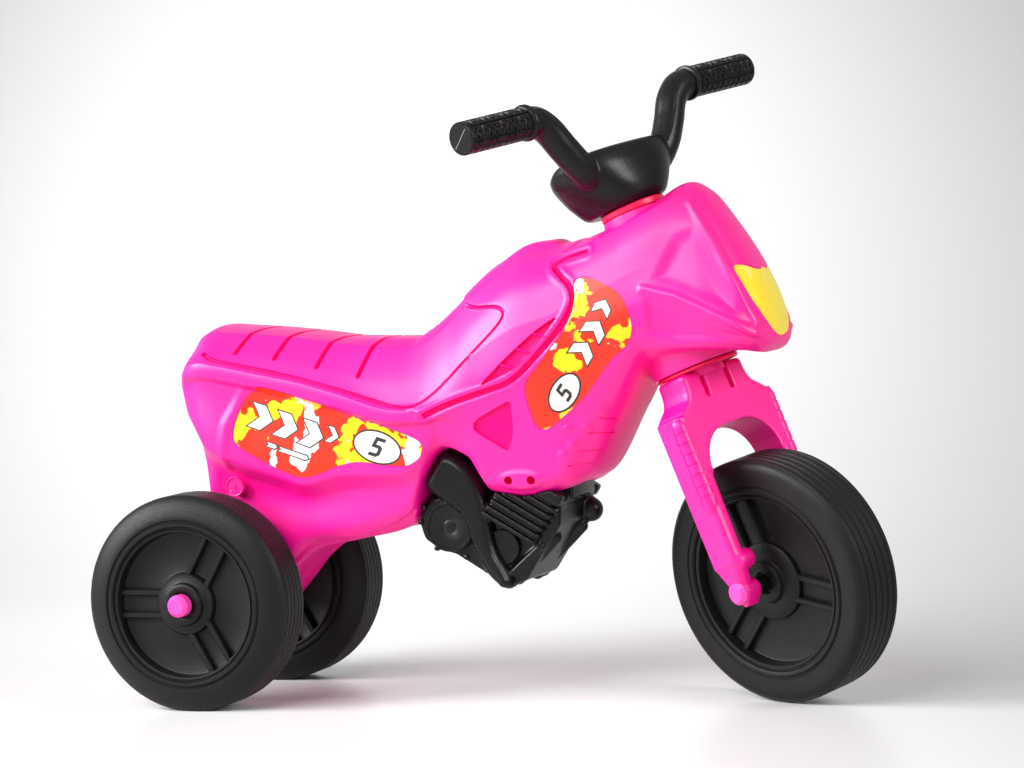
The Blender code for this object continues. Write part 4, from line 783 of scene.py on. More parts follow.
def body_relief(x, y, z, side_facing):
    """How far the skin is moved outwards at each point for its raised and sunk areas."""
    upper = z > TANK_FOOT
    raised = depth_inside(x, z, TANK_REGION)
    move = np.where(upper, TANK_RISE * smooth_step(-1.5, 1.5, raised), 0.0)
    rim = np.abs(line_distance(x, z, rounded_line(TANK_EDGE)) - RIM_OFFSET)
    move += np.where(upper, RIM_RISE * (1.0 - smooth_step(0.0, RIM_REACH, rim)), 0.0)
    for middle, size, rise in SWELLINGS:
        move += rise * side_facing * swell(x, z, middle, size)
    for line, rise, reach, sideways in RIDGES:
        share = side_facing if sideways else 1.0
        move += rise * share * (1.0 - smooth_step(0.0, reach, line_distance(x, z, line)))
    for outline, depth, start, end, sideways in HOLLOWS:
        share = side_facing if sideways else 1.0
        move -= depth * share * smooth_step(start, end, depth_inside(x, z, outline))
    hump = smooth_step(262.0, 296.0, x) * (1.0 - smooth_step(313.0, 324.0, x))
    hump = hump * (1.0 - smooth_step(10.0, 21.0, np.abs(y)))
    return move + np.where(z > HUMP_FOOT, HUMP_RISE * hump, 0.0)


def grid_skin():
    """The body's whole skin, mirrored from its left half, before anything is cut into it."""
    places, section = body_grid()
    x = np.repeat(places[:, None], section.shape[1], axis=1)
    y = section[:, :, 0]
    z = section[:, :, 1]
    points = np.stack([x, y, z], axis=-1)
    normal = np.cross(np.gradient(points, axis=0), np.gradient(points, axis=1))
    normal /= np.linalg.norm(normal, axis=2, keepdims=True) + 1e-9
    normal *= np.sign((normal[:, :, 1] * y).sum())
    side_facing = smooth_step(0.25, 0.55, normal[:, :, 1])
    points = points + normal * body_relief(x, y, z, side_facing)[:, :, None]
    points[:, 0, 1] = 0.0
    points[:, -1, 1] = 0.0
    mirrored = points[:, -2:0:-1] * (1.0, -1.0, 1.0)
    return lofted(list(np.concatenate([points, mirrored], axis=1)))


def seat_groove(place, skin):
    """A round-ended cutter for one cross groove of the seat, which bends at the crown's edges."""
    points = []
    for across in np.linspace(-GROOVE_REACH, GROOVE_REACH, 77):
        reach = abs(across)
        lean = 9.0 - 9.0 * reach / CREASE_ACROSS if reach < CREASE_ACROSS else (CREASE_ACROSS - reach) / 3.0
        points.append(tuple(skin.top(place + lean, across)))
    rods = [sweep(points, GROOVE_RADIUS, 16, flat=GROOVE_FLATNESS)]
    half = np.array((0.0, 0.0, 0.3))
    for end in (np.array(points[0]), np.array(points[-1])):
        rods.append(capsule(end - half, end + half, GROOVE_RADIUS, segments=16))
    return rods


def even_line(line, step):
    """A line of the side view with its corners rounded, in even short runs."""
    points = np.array(rounded_line(line, 3))
    run = np.concatenate([[0.0], np.cumsum(np.linalg.norm(np.diff(points, axis=0), axis=1))])
    places = np.linspace(0.0, run[-1], max(3, int(run[-1] / step)))
    return list(zip(np.interp(places, run, points[:, 0]), np.interp(places, run, points[:, 1])))


def evened(values):
    """Values along a line with single jumps taken out and the rest smoothed."""
    for blend in (np.median, np.mean):
        padded = np.pad(values, EVEN_REACH, mode="reflect", reflect_type="odd")
        values = blend([padded[start:start + len(values)] for start in range(2 * EVEN_REACH + 1)], axis=0)
    return values


def side_groove(line, side, skin, radius):
    """A cutter along a line of the side view."""
    points = np.array([tuple(skin.side(x, z, side)) for x, z in even_line(line, LINE_STEP)])
    if len(points) > 3 * EVEN_REACH:
        points[:, 1] = evened(points[:, 1])
    return sweep(points, radius, 16, up=(0.0, 1.0, 0.0), flat=1.3)


def sunk(outline, depth, place, step=2.6):
    """A cutter for an area sunk below the skin to a depth, in a view's flat outline."""
    return laid(outline, step, place, CUT_LIFT, CUT_LIFT + depth)


def body_cutters(skin):
    """Everything cut into the body's skin."""
    cutters = []
    for place in SEAT_GROOVES:
        cutters += seat_groove(place, skin)
    for side in (-1.0, 1.0):
        place_side = skin.side_place(side)
        cutters.append(side_groove(PAD_EDGE, side, skin, PAD_GROOVE))
        cutters.append(side_groove(TANK_EDGE, side, skin, TANK_GROOVE))
        for line in TUBE_LINES:
            cutters.append(side_groove(line, side, skin, FINE_GROOVE))
        cutters.append(sunk(closed_round(VENT, 1), VENT_DEPTH, place_side))
        cutters.append(sunk(closed_round(TRIANGLE, 2), TRIANGLE_DEPTH, place_side))
        for film in (SIDE_FILM, TANK_FILM):
            cutters.append(sunk(closed_round(grown_outline(film, 1.0)), FILM_RECESS, place_side))
        for x in SCREW_HOLES:
            cutters.append(turned(SCREW_HOLE, (x, 0.0, SCREW_PAD[1]), side, 32))
    lamp = closed_round(grown_outline(LAMP_FILM, LAMP_GROWTH), 1)
    cutters.append(sunk(lamp, FILM_RECESS, skin.front, 1.6))
    return cutters


def vent_ribs(skin):
    """The thin ribs that cross each vent."""
    ribs = []
    for side in (-1.0, 1.0):
        for start, end in VENT_RIBS:
            line = [between(start, end, share) for share in np.linspace(0.0, 1.0, 6)]
            points = [tuple(skin.side(x, z, side, -1.1)) for x, z in line]
            ribs.append(sweep(points, 0.75, 10, up=(0.0, 1.0, 0.0), flat=2.6))
    return ribs


def dials():
    """The plain round dial with ticks moulded on each side of the leg, and its small bar."""
    rim = [(DIAL_RADIUS - 1.2, DIAL_FACE + 3.0), (DIAL_RADIUS - 0.5, DIAL_FACE + 3.4),
           (DIAL_RADIUS, DIAL_FACE + 3.0), (DIAL_RADIUS, DIAL_FACE - 3.0), (0.0, DIAL_FACE - 3.0),
           (0.0, DIAL_PLATE), (DIAL_RADIUS - 1.3, DIAL_PLATE)]
    shapes = []
    for side in (-1.0, 1.0):
        shapes.append(turned(rim, (DIAL[0], 0.0, DIAL[1]), side, 48))
        for tick in range(DIAL_TICKS):
            angle = 2.0 * math.pi * tick / DIAL_TICKS
            ends = [(DIAL[0] + reach * math.cos(angle), side * DIAL_PLATE, DIAL[1] + reach * math.sin(angle))
                    for reach in (4.4, 6.0)]
            shapes.append(sweep(ends, 0.35, 6, up=(0.0, 1.0, 0.0)))
        ends = [(DIAL[0], side * DIAL_PLATE, DIAL[1] + up) for up in (-2.6, 2.6)]
        shapes.append(sweep(ends, 0.8, 8, up=(0.0, 1.0, 0.0)))
    return shapes


def make_body():
    """The body's skin with its grooves, recesses, vents and ribs, and the films laid on it."""
    bare = grid_skin()
    skin = Skin(*bare)
    carving = carved(bare, body_cutters(skin))
    whole = combined([carving] + vent_ribs(skin) + dials())
    body = place_mesh("body_skin", *whole, TOY, "frame", PINK, ("body_shell",), "pink_plastic")
    body.data.materials.append(PAINTED_SHADE_PINK)
    # Cut faces deep in the grooves and recesses take the darker pink as painted shade
    for polygon, face in zip(body.data.polygons, carving[1]):
        middle = sum((Vector(carving[0][index]) for index in face), Vector()) / len(face)
        if skin.tree.find_nearest(middle)[3] > DEEP_FROM:
            polygon.material_index = 1
    make_films(skin)


# Films and their pattern

SIDE_FILM = ((34, 227), (42, 219), (66, 206), (93, 194), (109, 196), (128, 204), (148, 208), (175, 204),
             (192, 203), (203, 209), (207, 218), (203, 226), (135, 250), (65, 273), (54, 268), (44, 257),
             (36, 240))
TANK_FILM = ((310, 225), (350, 257), (373, 287), (392, 302), (395, 318), (386, 342), (358, 356), (343, 354),
             (346, 335), (338, 315), (317, 288), (299, 268))
# Outline of the lamp's right half, from its foot to its notch, as y and z
LAMP_HALF = ((-12, 303), (-23, 308), (-32, 318), (-37.5, 332), (-40, 346), (-41, 357), (-38, 361.5),
             (-29, 360.5), (-17, 357), (-7, 356))
LAMP_FILM = ((0, 301.5),) + LAMP_HALF + ((0, 358.5),) + tuple((-y, z) for y, z in reversed(LAMP_HALF))
FILM_LIFT = -0.35
INK_STEP = 0.12
DIGIT_SHARE = 1.35
DIGIT_LEAN = 0.18
# Outline of a digit in a box one unit high
FIVE = ((0.6, 1.0), (0.05, 1.0), (0.0, 0.45), (0.36, 0.45), (0.41, 0.4), (0.41, 0.23), (0.36, 0.18),
        (0.02, 0.18), (0.0, 0.0), (0.44, 0.0), (0.6, 0.14), (0.6, 0.49), (0.46, 0.62), (0.2, 0.62),
        (0.22, 0.82), (0.6, 0.82))


def closed_round(outline, rounds=2):
    """A closed outline with its corners cut a few times."""
    line = [tuple(map(float, point)) for point in outline]
    for _ in range(rounds):
        pairs = list(zip(line, line[1:] + line[:1]))
        line = [between(start, end, share) for start, end in pairs for share in (0.2, 0.8)]
    return line


def fine_outline(outline, step):
    """A closed outline with no run longer than a step."""
    line = []
    for start, end in zip(outline, outline[1:] + outline[:1]):
        count = max(1, int(math.ceil(math.dist(start, end) / step)))
        line += [between(start, end, index / count) for index in range(count)]
    return line


def filled(outline, step):
    """Flat triangles inside an outline, with points spread over it."""
    line = fine_outline(outline, step)
    low = np.min(line, axis=0)
    high = np.max(line, axis=0)
    columns, rows = np.meshgrid(np.arange(low[0], high[0], step), np.arange(low[1], high[1], step))
    keep = depth_inside(columns, rows, line) > step * 0.6
    points = [Vector(point) for point in line]
    points += [Vector(point) for point in zip(columns[keep], rows[keep])]
    count = len(line)
    edges = [(index, (index + 1) % count) for index in range(count)]
    verts, _, tris, *_ = geometry.delaunay_2d_cdt(points, edges, [], 1, 1e-5)
    return [tuple(vert) for vert in verts], [list(tri) for tri in tris]


class Skin:
    """The body's skin, for finding where points of a view land on it."""

    def __init__(self, verts, faces):
        self.tree = BVHTree.FromPolygons(verts, faces)

    def cast(self, start, way, lift):
        """The skin's point along a line of sight, moved off it by a lift."""
        place, normal, _, _ = self.tree.ray_cast(Vector(start), Vector(way))
        if place is None:
            place, normal, _, _ = self.tree.find_nearest(Vector(start))
        if normal.dot(Vector(way)) > 0.0:
            normal = -normal
        return place + normal * lift

    def side(self, x, z, side, lift=0.0):
        """A point of the side view on the skin."""
        return self.cast((x, side * 200.0, z), (0.0, -side, 0.0), lift)

    def side_place(self, side):
        """The function that lays the side view's points on one side of the skin."""
        return lambda x, z, lift: self.side(x, z, side, lift)

    def top(self, x, y, lift=0.0):
        """A point of the plan on the skin."""
        return self.cast((x, y, 600.0), (0.0, 0.0, -1.0), lift)

    def front(self, y, z, lift=0.0):
        """A point of the front view on the skin."""
        return self.cast((700.0, y, z), (-1.0, 0.0, 0.0), lift)


def laid(outline, step, place, lift, thickness=0.6):
    """A thin closed sheet laid on the skin, with a place function from its flat points."""
    flat, tris = filled(outline, step)
    upper = [tuple(place(a, b, lift)) for a, b in flat]
    lower = [tuple(place(a, b, lift - thickness)) for a, b in flat]
    count = len(flat)
    faces = [list(tri) for tri in tris] + [[count + index for index in reversed(tri)] for tri in tris]
    used = dict.fromkeys(pair for tri in tris for pair in zip(tri, tri[1:] + tri[:1]))
    for start, end in used:
        if (end, start) not in used:
            faces.append([end, start, count + start, count + end])
    return upper + lower, faces


def tilted(outline, scale, place, slope, lean=0.0):
    """A small outline scaled, leaned and turned to a slope, with its middle at a place."""
    middle_x, middle_z = (np.max(outline, axis=0) + np.min(outline, axis=0)) / 2.0
    points = []
    for x, z in outline:
        across = (x - middle_x) * scale + (z - middle_z) * scale * lean
        up = (z - middle_z) * scale
        points.append((place[0] + across * math.cos(slope) - up * math.sin(slope),
                       place[1] + across * math.sin(slope) + up * math.cos(slope)))
    return points


def ellipse(half_length, half_height):
    """Points round an ellipse."""
    angles = [math.radians(9.0 * index) for index in range(40)]
    return [(half_length * math.cos(angle), half_height * math.sin(angle)) for angle in angles]


def chevron(length, height, arm):
    """An arrow-like bar with a notch at its back."""
    return ((0.0, 0.0), (length, 0.0), (length + arm, height / 2.0), (length, height), (0.0, height),
            (arm, height / 2.0))


def grown_outline(outline, distance):
    """A convex or mildly notched outline with its points moved outwards."""
    count = len(outline)
    area = sum(a[0] * b[1] - b[0] * a[1] for a, b in zip(outline, outline[1:] + outline[:1]))
    turn = 1.0 if area > 0.0 else -1.0
    points = []
    for index in range(count):
        before = Vector(outline[index - 1])
        here = Vector(outline[index])
        after = Vector(outline[(index + 1) % count])
        first = (here - before).normalized()
        second = (after - here).normalized()
        away = Vector((first.y + second.y, -first.x - second.x)) * turn
        away = away.normalized() / max(0.45, math.sqrt((1.0 + first.dot(second)) / 2.0))
        points.append(tuple(here + away * distance))
    return points


def sticker(word, side, skin, outline, badge, bars):
    """A printed film with a numbered badge and outlined bars."""
    way = "left" if side > 0.0 else "right"
    place = skin.side_place(side)
    film = laid(closed_round(outline), 2.6, place, FILM_LIFT)
    place_mesh("%s_film_%s" % (word, way), *film, TOY, "frame", PRINT, ("%s_decal_%s" % (word, way),),
               "orange_film", smooth=False)
    middle, half_length, half_height, slope = badge
    plate = tilted(ellipse(half_length, half_height), 1.0, middle, slope)
    dark = [laid(grown_outline(plate, 1.6), 2.4, place, FILM_LIFT + INK_STEP)]
    pale = [laid(plate, 2.4, place, FILM_LIFT + 2.0 * INK_STEP)]
    digit = tilted(FIVE, half_height * DIGIT_SHARE, middle, slope, -DIGIT_LEAN * side)
    digit = [(2.0 * middle[0] - x, z) for x, z in digit] if side > 0.0 else digit
    dark.append(laid(digit, 1.6, place, FILM_LIFT + 3.0 * INK_STEP))
    for where, length, height, arm, turn in bars:
        shape = tilted(chevron(length, height, arm), 1.0, where, turn)
        dark.append(laid(grown_outline(shape, 1.1), 2.0, place, FILM_LIFT + INK_STEP))
        pale.append(laid(shape, 2.0, place, FILM_LIFT + 2.0 * INK_STEP))
    for layer, shapes, material in (("ink", dark, INK), ("white", pale, WHITE_PRINT)):
        place_mesh("%s_%s_%s" % (word, layer, way), *combined(shapes), TOY, "frame", material,
                   slot="orange_film", smooth=False)


SIDE_SLOPE = math.radians(-18.0)
SIDE_BADGE = ((166.0, 219.5), 21.0, 12.5, SIDE_SLOPE)
SIDE_BARS = (((61.0, 246.0), 12.0, 21.0, 9.0, SIDE_SLOPE), ((84.0, 238.5), 12.0, 21.0, 9.0, SIDE_SLOPE),
             ((107.0, 231.0), 12.0, 21.0, 9.0, SIDE_SLOPE), ((126.0, 230.0), 5.0, 13.0, 6.0, SIDE_SLOPE),
             ((90.0, 215.0), 26.0, 3.5, 2.0, SIDE_SLOPE), ((70.0, 222.0), 8.0, 3.5, 2.0, SIDE_SLOPE))
TANK_SLOPE = math.radians(54.0)
TANK_BADGE = ((334.0, 262.0), 17.0, 10.0, TANK_SLOPE)
TANK_BARS = (((352.0, 296.0), 9.0, 19.0, 7.0, TANK_SLOPE), ((363.0, 313.0), 9.0, 19.0, 7.0, TANK_SLOPE),
             ((370.0, 331.0), 7.0, 15.0, 6.0, math.radians(66.0)))


def make_films(skin):
    """The printed films on both sides and on the nose."""
    for side in (-1.0, 1.0):
        sticker("side", side, skin, SIDE_FILM, SIDE_BADGE, SIDE_BARS)
        sticker("tank", side, skin, TANK_FILM, TANK_BADGE, TANK_BARS)
    lamp = laid(closed_round(LAMP_FILM, 1), 1.6, skin.front, FILM_LIFT)
    place_mesh("lamp_film", *lamp, TOY, "frame", LAMP, ("headlight",), "yellow_film", smooth=False)


# Engine

CRANKCASE = ((203, 174), (194, 165), (190, 152), (194, 139), (207, 130), (222, 126), (252, 108), (266, 99),
             (284, 104), (300, 128), (316, 150), (318, 172), (262, 174), (240, 176))
GUARD = ((215, 213), (208, 203), (199, 188), (201, 180), (218, 170), (234, 157), (240, 134), (245, 122),
         (253, 109), (263, 100), (271, 97), (276, 101), (274, 110), (261, 132), (258, 158), (253, 179),
         (247, 192), (238, 204), (226, 212))
BODY_ROOM = ((150, 132), (184.0, 150.0), (201.0, 191.0), (217, 215.8), (243, 206.8), (260, 180.8),
             (290, 175.8), (325, 182.8), (346, 188.8), (376, 237), (376, 300), (150, 300))
CRANK_HALF_WIDTH = 38.0
FIN_HALF_WIDTH = 49.8
FIN_FRONT = (297.5, 136.0)
FIN_SLOPE = math.radians(55.0)
FIN_TILT = math.radians(30.0)
FIN_PITCH = 6.5
FIN_THICKNESS = 4.0
FIN_COUNT = 6
HEAD_THICKNESS = 10.0
BOLTS = ((212.7, 139.0), (205.5, 131.5), (191.5, 153.6), (195.2, 166.0), (231.9, 124.0), (250.0, 113.0),
         (283.1, 148.6), (271.7, 120.4))
# Rods on the engine's front: the ends and the radius at each
ENGINE_PIPES = (((307.5, -24.0, 139.0), (272.0, -24.0, 106.0), 5.4, 7.2),
                ((298.0, -24.0, 146.0), (307.5, -24.0, 139.0), 5.4),
                ((314.0, 22.0, 143.0), (271.0, 22.0, 104.0), 5.0, 6.6),
                ((303.0, 22.0, 152.0), (314.0, 22.0, 143.0), 5.0),
                ((305.0, 28.0, 166.0), (320.0, 28.0, 156.5), 10.6),
                ((299.0, -38.0, 133.0), (272.0, -39.0, 110.0), 3.2),
                ((270.5, -30.0, 105.5), (267.0, -43.0, 104.0), 5.2))
# How far out each ring of a guard lies, and how far it is drawn in
PILLOW_RINGS = ((32.0, 0.0), (41.0, 0.0), (44.5, 1.0), (47.4, 2.8), (49.4, 5.0), (50.6, 7.4))
NOTCH_COUNT = 5
NOTCH_PITCH = 18.0
ENGINE_LUG = ((231.0, 172.0), (231.0, 218.0), (325.0, 218.0), (325.0, 172.0))
ENGINE_VOXEL = 1.05


def fin_place(index):
    """Axes of one fin from its front edge: back along it, across, and up through the stack."""
    run = FIN_PITCH * index
    place = Vector((FIN_FRONT[0] + math.cos(FIN_SLOPE) * run, 0.0, FIN_FRONT[1] + math.sin(FIN_SLOPE) * run))
    return Matrix.Translation(place) @ Matrix.Rotation(FIN_TILT, 4, "Y")


def fin_outline(half_width, inset):
    """A fin seen from above, with its front corners cut."""
    cut = 2.0
    return ((-52.0, -half_width), (-cut, -half_width), (-inset, cut - half_width), (-inset, half_width - cut),
            (-cut, half_width), (-52.0, half_width))


def cylinder_fins():
    """The stack of thick fins, the core between them and the notched head."""
    outline = fin_outline(FIN_HALF_WIDTH, 0.0)
    half = FIN_THICKNESS / 2.0
    shapes = [moved(prism(outline, -half, half, "XY", 1.1, 2), fin_place(index))
              for index in range(FIN_COUNT)]
    core = prism(fin_outline(FIN_HALF_WIDTH - 5.0, 5.0), 0.0, FIN_PITCH * FIN_COUNT, "XY")
    shapes.append(moved(core, fin_place(0)))
    head = prism(outline, -half, HEAD_THICKNESS - half, "XY", 1.6, 2)
    shapes.append(moved(head, fin_place(FIN_COUNT)))
    return shapes


def head_notches():
    """Cutters for the notches along the head's upper front edge."""
    cutters = []
    for index in range(NOTCH_COUNT):
        middle = NOTCH_PITCH * (index - (NOTCH_COUNT - 1) / 2.0)
        notch = box((-7.0, middle - 3.2, 2.6), (4.0, middle + 3.2, 14.0))
        cutters.append(moved(notch, fin_place(FIN_COUNT)))
    return cutters


def engine_pipes():
    """The two pipes from the cylinder's front to the sump, the bulb and the pedal rod."""
    return [capsule(*pipe) for pipe in ENGINE_PIPES]


def pillow(outline, side):
    """A thick bar of an outline whose outer face is rounded over to its edges."""
    smooth = closed_round(outline, 2)
    return lofted([[(x, side * depth, z) for x, z in grown_outline(smooth, -inset)]
                   for depth, inset in PILLOW_RINGS])


def engine_covers(side):
    """The two round covers of the crankcase, each with a raised rim, and the bolt heads."""
    face = CRANK_HALF_WIDTH
    large = [(0.0, face + 4.4), (5.6, face + 4.4), (5.9, face + 4.2), (6.2, face + 4.4), (18.4, face + 4.4),
             (18.9, face + 5.2), (20.2, face + 5.3), (21.2, face + 4.6), (21.8, face), (21.8, face - 4.0),
             (0.0, face - 4.0)]
    small = [(0.0, face + 3.6), (12.8, face + 3.6), (13.3, face + 4.3), (14.4, face + 4.3),
             (15.0, face + 3.6), (15.4, face), (15.4, face - 4.0), (0.0, face - 4.0)]
    shapes = [turned(large, (219.5, 0.0, 150.0), side, 72), turned(small, (266.0, 0.0, 132.5), side, 64)]
    head = [(0.0, 1.9), (1.4, 1.7), (2.3, 1.0), (2.5, 0.0), (2.5, -4.0), (0.0, -4.0)]
    for x, z in BOLTS:
        shapes.append(turned(head, (x, side * (face + 0.2), z), side, 16))
    return shapes


def make_engine():
    """The engine's skin in one moulding, with its covers and bolt heads."""
    shapes = [prism(CRANKCASE, -CRANK_HALF_WIDTH, CRANK_HALF_WIDTH, "XZ", 3.0)]
    shapes += cylinder_fins() + engine_pipes()
    shapes += [pillow(GUARD, -1.0), pillow(GUARD, 1.0)]
    room = prism(BODY_ROOM, -90.0, 90.0, "XZ")
    skin = fused(shapes, ENGINE_VOXEL, 2, [room] + head_notches())
    lug = prism(ENGINE_LUG, -27.0, 27.0, "XZ", 1.5)
    whole = combined([skin, lug] + engine_covers(-1.0) + engine_covers(1.0))
    place_mesh("engine_skin", *whole, TOY, "frame", BLACK, ("engine",), "black_plastic")


# Fork

FORK_REAR = -17.0
FORK_FRONT = 15.0
FORK_OUTLINE = ((37.0, 181.0), (37.2, 172.0), (38.2, 166.0), (41.0, 160.5), (53.5, 151.5), (53.5, 97.0))
ARCH_TOP = 132.0
ARCH_HALF = 43.5
ARCH_CORNER = 33.0
LEG_STEP = 23.5
FORK_RIB_LINES = (82.0, 91.0, 101.0, 110.0, 119.0, 128.0, 137.0)
FORK_VOXEL = 0.95
SLOT_MIDDLE = 15.0
SLOT_RADIUS = 2.5
SLOT_FOOT = 160.5
STEM = ((17.0, 176.0), (21.0, 176.0), (21.0, 361.0), (20.0, 362.0), (17.0, 362.0))


def arch_outline():
    """The inside of the arch between the legs, across the fork."""
    points = [(ARCH_HALF, 95.0)]
    for index in range(11):
        angle = index * math.pi / 20.0
        points.append((ARCH_HALF - ARCH_CORNER + ARCH_CORNER * math.cos(angle),
                       ARCH_TOP - ARCH_CORNER + ARCH_CORNER * math.sin(angle)))
    return [(-v, s) for v, s in points] + points[::-1]


def leg_ring(side, height, inner, outer=60.0, rear=FORK_REAR, front=FORK_FRONT):
    """Section of a leg: a bevelled rear edge, a flat outer face and rounded front corners."""
    strip = 6.0
    points = [(rear, inner + 2.0), (rear + 1.5, inner), (front - 3.0, inner), (front, inner + 3.0),
              (front, outer - 5.5), (front - 1.0, outer - 2.4), (front - 2.8, outer - 0.7),
              (front - 5.5, outer), (rear + strip, outer), (rear + 0.6, outer - strip),
              (rear, outer - strip - 1.0)]
    return [(u, side * v, height) for u, v in points]


def fork_leg(side):
    """One leg with its faceted taper and the lug for the axle, with a keel under the lug and a nub above it.
    """
    leg = solid(*lofted([leg_ring(side, 150.0, ARCH_HALF), leg_ring(side, 100.0, 43.6),
                         leg_ring(side, LEG_STEP, 45.5)]))
    taper = solid(*lofted([leg_ring(side, LEG_STEP + 2.0, 46.0, 59.2, -16.2, 14.2),
                           leg_ring(side, LEG_STEP - 1.0, 46.0, 59.2, -16.2, 14.2),
                           leg_ring(side, 2.0, 42.0, 56.5, -9.5, 8.0)]))
    lug = turned([(0.0, 36.0), (7.6, 36.0), (8.7, 36.6), (9.1, 37.8), (9.1, 53.9), (0.0, 53.9)], side=side)
    ends = sorted((side * 38.0, side * 53.5))
    keel = prism(((-6.0, -5.5), (6.5, -5.5), (1.5, -12.6), (-1.5, -12.9)), *ends, "XZ", 0.8)
    nub = capsule((9.0, side * 42.5, 24.7), (9.0, side * 51.0, 24.7), 8.6)
    return [leg, taper, lug, keel, nub]


def leg_rib(side):
    """The rounded rib down the front outer corner, with fine lines across its upper part."""
    line = [(62.0, 2.0), (67.0, 5.0), (75.0, 6.8)]
    for height in FORK_RIB_LINES:
        line += [(height - 0.8, 6.8), (height - 0.3, 6.1), (height + 0.3, 6.1), (height + 0.8, 6.8)]
    line += [(143.0, 6.8), (147.0, 5.6), (150.0, 2.0)]
    points = [(8.6, side * 55.6, height) for height, radius in line]
    return sweep(points, [radius for height, radius in line], 32, up=(1.0, 0.0, 0.0))


def crown_slot(side):
    """One slot between the crown's gussets, open at the top and round at its foot."""
    middle = side * SLOT_MIDDLE
    foot = [(middle + SLOT_RADIUS * math.cos(angle), SLOT_FOOT + SLOT_RADIUS * math.sin(angle))
            for angle in np.linspace(math.pi, 2.0 * math.pi, 9)]
    return prism(foot + [(middle + 2.8, 190.0), (middle - 2.8, 190.0)], 8.5, 30.0, "YZ")


def make_fork():
    """The fork's skin in one moulding, its legs' ribs and the stem."""
    outline = [(-v, s) for v, s in FORK_OUTLINE] + [(v, s) for v, s in reversed(FORK_OUTLINE)]
    crown = prism(outline, FORK_REAR, FORK_FRONT, "YZ", 3.5, 3)
    shapes = [crown] + fork_leg(-1.0) + fork_leg(1.0)
    arch = prism(arch_outline(), -40.0, 40.0, "YZ")
    skin = fused(shapes, FORK_VOXEL, 2, [arch, crown_slot(-1.0), crown_slot(1.0)])
    points, faces = revolve(STEM, 64)
    whole = combined([skin, leg_rib(-1.0), leg_rib(1.0), (points[:, (2, 0, 1)].tolist(), faces)])
    place_mesh("fork_skin", *whole, STEERED, "steering", PINK, ("fork",), "pink_plastic")


# Handlebar

BAR_BOTTOM = 328.6
BAR_JOIN = 20.9
GRIP_RISE = 84.9
GRIP_AHEAD = 19.5
BAR_END = 173.8
GRIP_START = 101.8
BAR_TUBE_RADIUS = 12.8
# Sections of the middle block: height, middle and half length along u, half width
BAR_BLOCK = ((0.0, -6.0, 30.0, 29.0), (1.5, -6.0, 33.0, 32.5), (6.0, -6.0, 35.5, 37.0),
             (21.0, -6.5, 38.5, 49.0), (33.0, -6.5, 38.5, 56.5), (40.0, -6.0, 37.0, 58.0),
             (45.0, -3.5, 33.0, 57.0), (48.5, 0.0, 27.0, 54.0), (49.6, 2.0, 20.0, 48.0))
BLOCK_POINTS = 64
# The block's plan is a rounded square between a circle, at 2, and a plain square
BLOCK_SQUARENESS = 2.5
# Middle line of the bar: u, v and the share of the way up from the block to the grip
BAR_PATH = ((19.5, 100.0, 1.0), (19.0, 88.0, 0.984), (17.5, 78.0, 0.875), (15.0, 65.0, 0.578),
            (12.5, 54.0, 0.344), (7.0, 38.0, 0.129), (2.0, 24.0, 0.06), (0.0, 12.0, 0.03))
GRIP_RADIUS = 12.3
GRIP_BLOCK_HEIGHT = 1.25
GRIP_PITCH = 6.9
SEAM_HALF_ANGLE = 4.5
ROW_ANGLE = (180.0 - 2.0 * SEAM_HALF_ANGLE) / 6.0
SEAM_DIRECTION = 30.0
PARTING_DIRECTION = np.array((math.cos(math.radians(SEAM_DIRECTION)), 0.0,
                              math.sin(math.radians(SEAM_DIRECTION))))
BAR_VOXEL = 1.0
GRIP_STEPS = 140
GRIP_POINTS = 132
FLANGE = ((0.0, -5.0), (13.6, -5.0), (14.9, -4.2), (15.2, -2.6), (14.9, -0.8), (13.6, 0.4), (0.0, 0.4))
TRIMMED_END = ((0.0, -0.8), (0.0, 0.12), (11.3, 0.12), (11.9, -0.3), (11.9, -0.8))
PINCH_HALF = 10.5
BLOCK_RIDGE = ((5.0, -44.0), (7.0, -30.0), (8.0, 0.0), (7.0, 30.0), (5.0, 44.0))


def block_rings():
    """Rounded-square rings of the bar's middle block, close together."""
    table = np.array(BAR_BLOCK)
    heights = np.linspace(0.0, BAR_BLOCK[-1][0], 34)
    rows = hermite(table[:, 0], table[:, 1:], pchip_slopes(table[:, 0], table[:, 1:]), heights)
    angles = np.arange(BLOCK_POINTS) * (2.0 * math.pi / BLOCK_POINTS)
    power = 2.0 / BLOCK_SQUARENESS
    u = np.sign(np.cos(angles)) * np.abs(np.cos(angles)) ** power
    v = np.sign(np.sin(angles)) * np.abs(np.sin(angles)) ** power
    return [np.stack([middle + u * length, v * width, np.full(BLOCK_POINTS, BAR_BOTTOM + height)], axis=-1)
            for height, (middle, length, width) in zip(heights, rows)]


def bar_line(side):
    """Middle line of one half of the bar, from inside the block to the grip."""
    climb = GRIP_RISE - BAR_JOIN
    points = [(u, side * v, BAR_BOTTOM + BAR_JOIN + share * climb) for u, v, share in reversed(BAR_PATH)]
    points += [(GRIP_AHEAD, side * (GRIP_START + 2.0), BAR_BOTTOM + GRIP_RISE)]
    return smooth_path(points, 60)


def parting_ridge(side):
    """The thin moulding seam along one half of the bar."""
    line = bar_line(side)
    tangent = np.gradient(line, axis=0)
    tangent /= np.linalg.norm(tangent, axis=1, keepdims=True)
    away = PARTING_DIRECTION - tangent * (tangent @ PARTING_DIRECTION)[:, None]
    away /= np.linalg.norm(away, axis=1, keepdims=True)
    return sweep((line + away * (BAR_TUBE_RADIUS - 0.35))[18:], 0.8, 8)


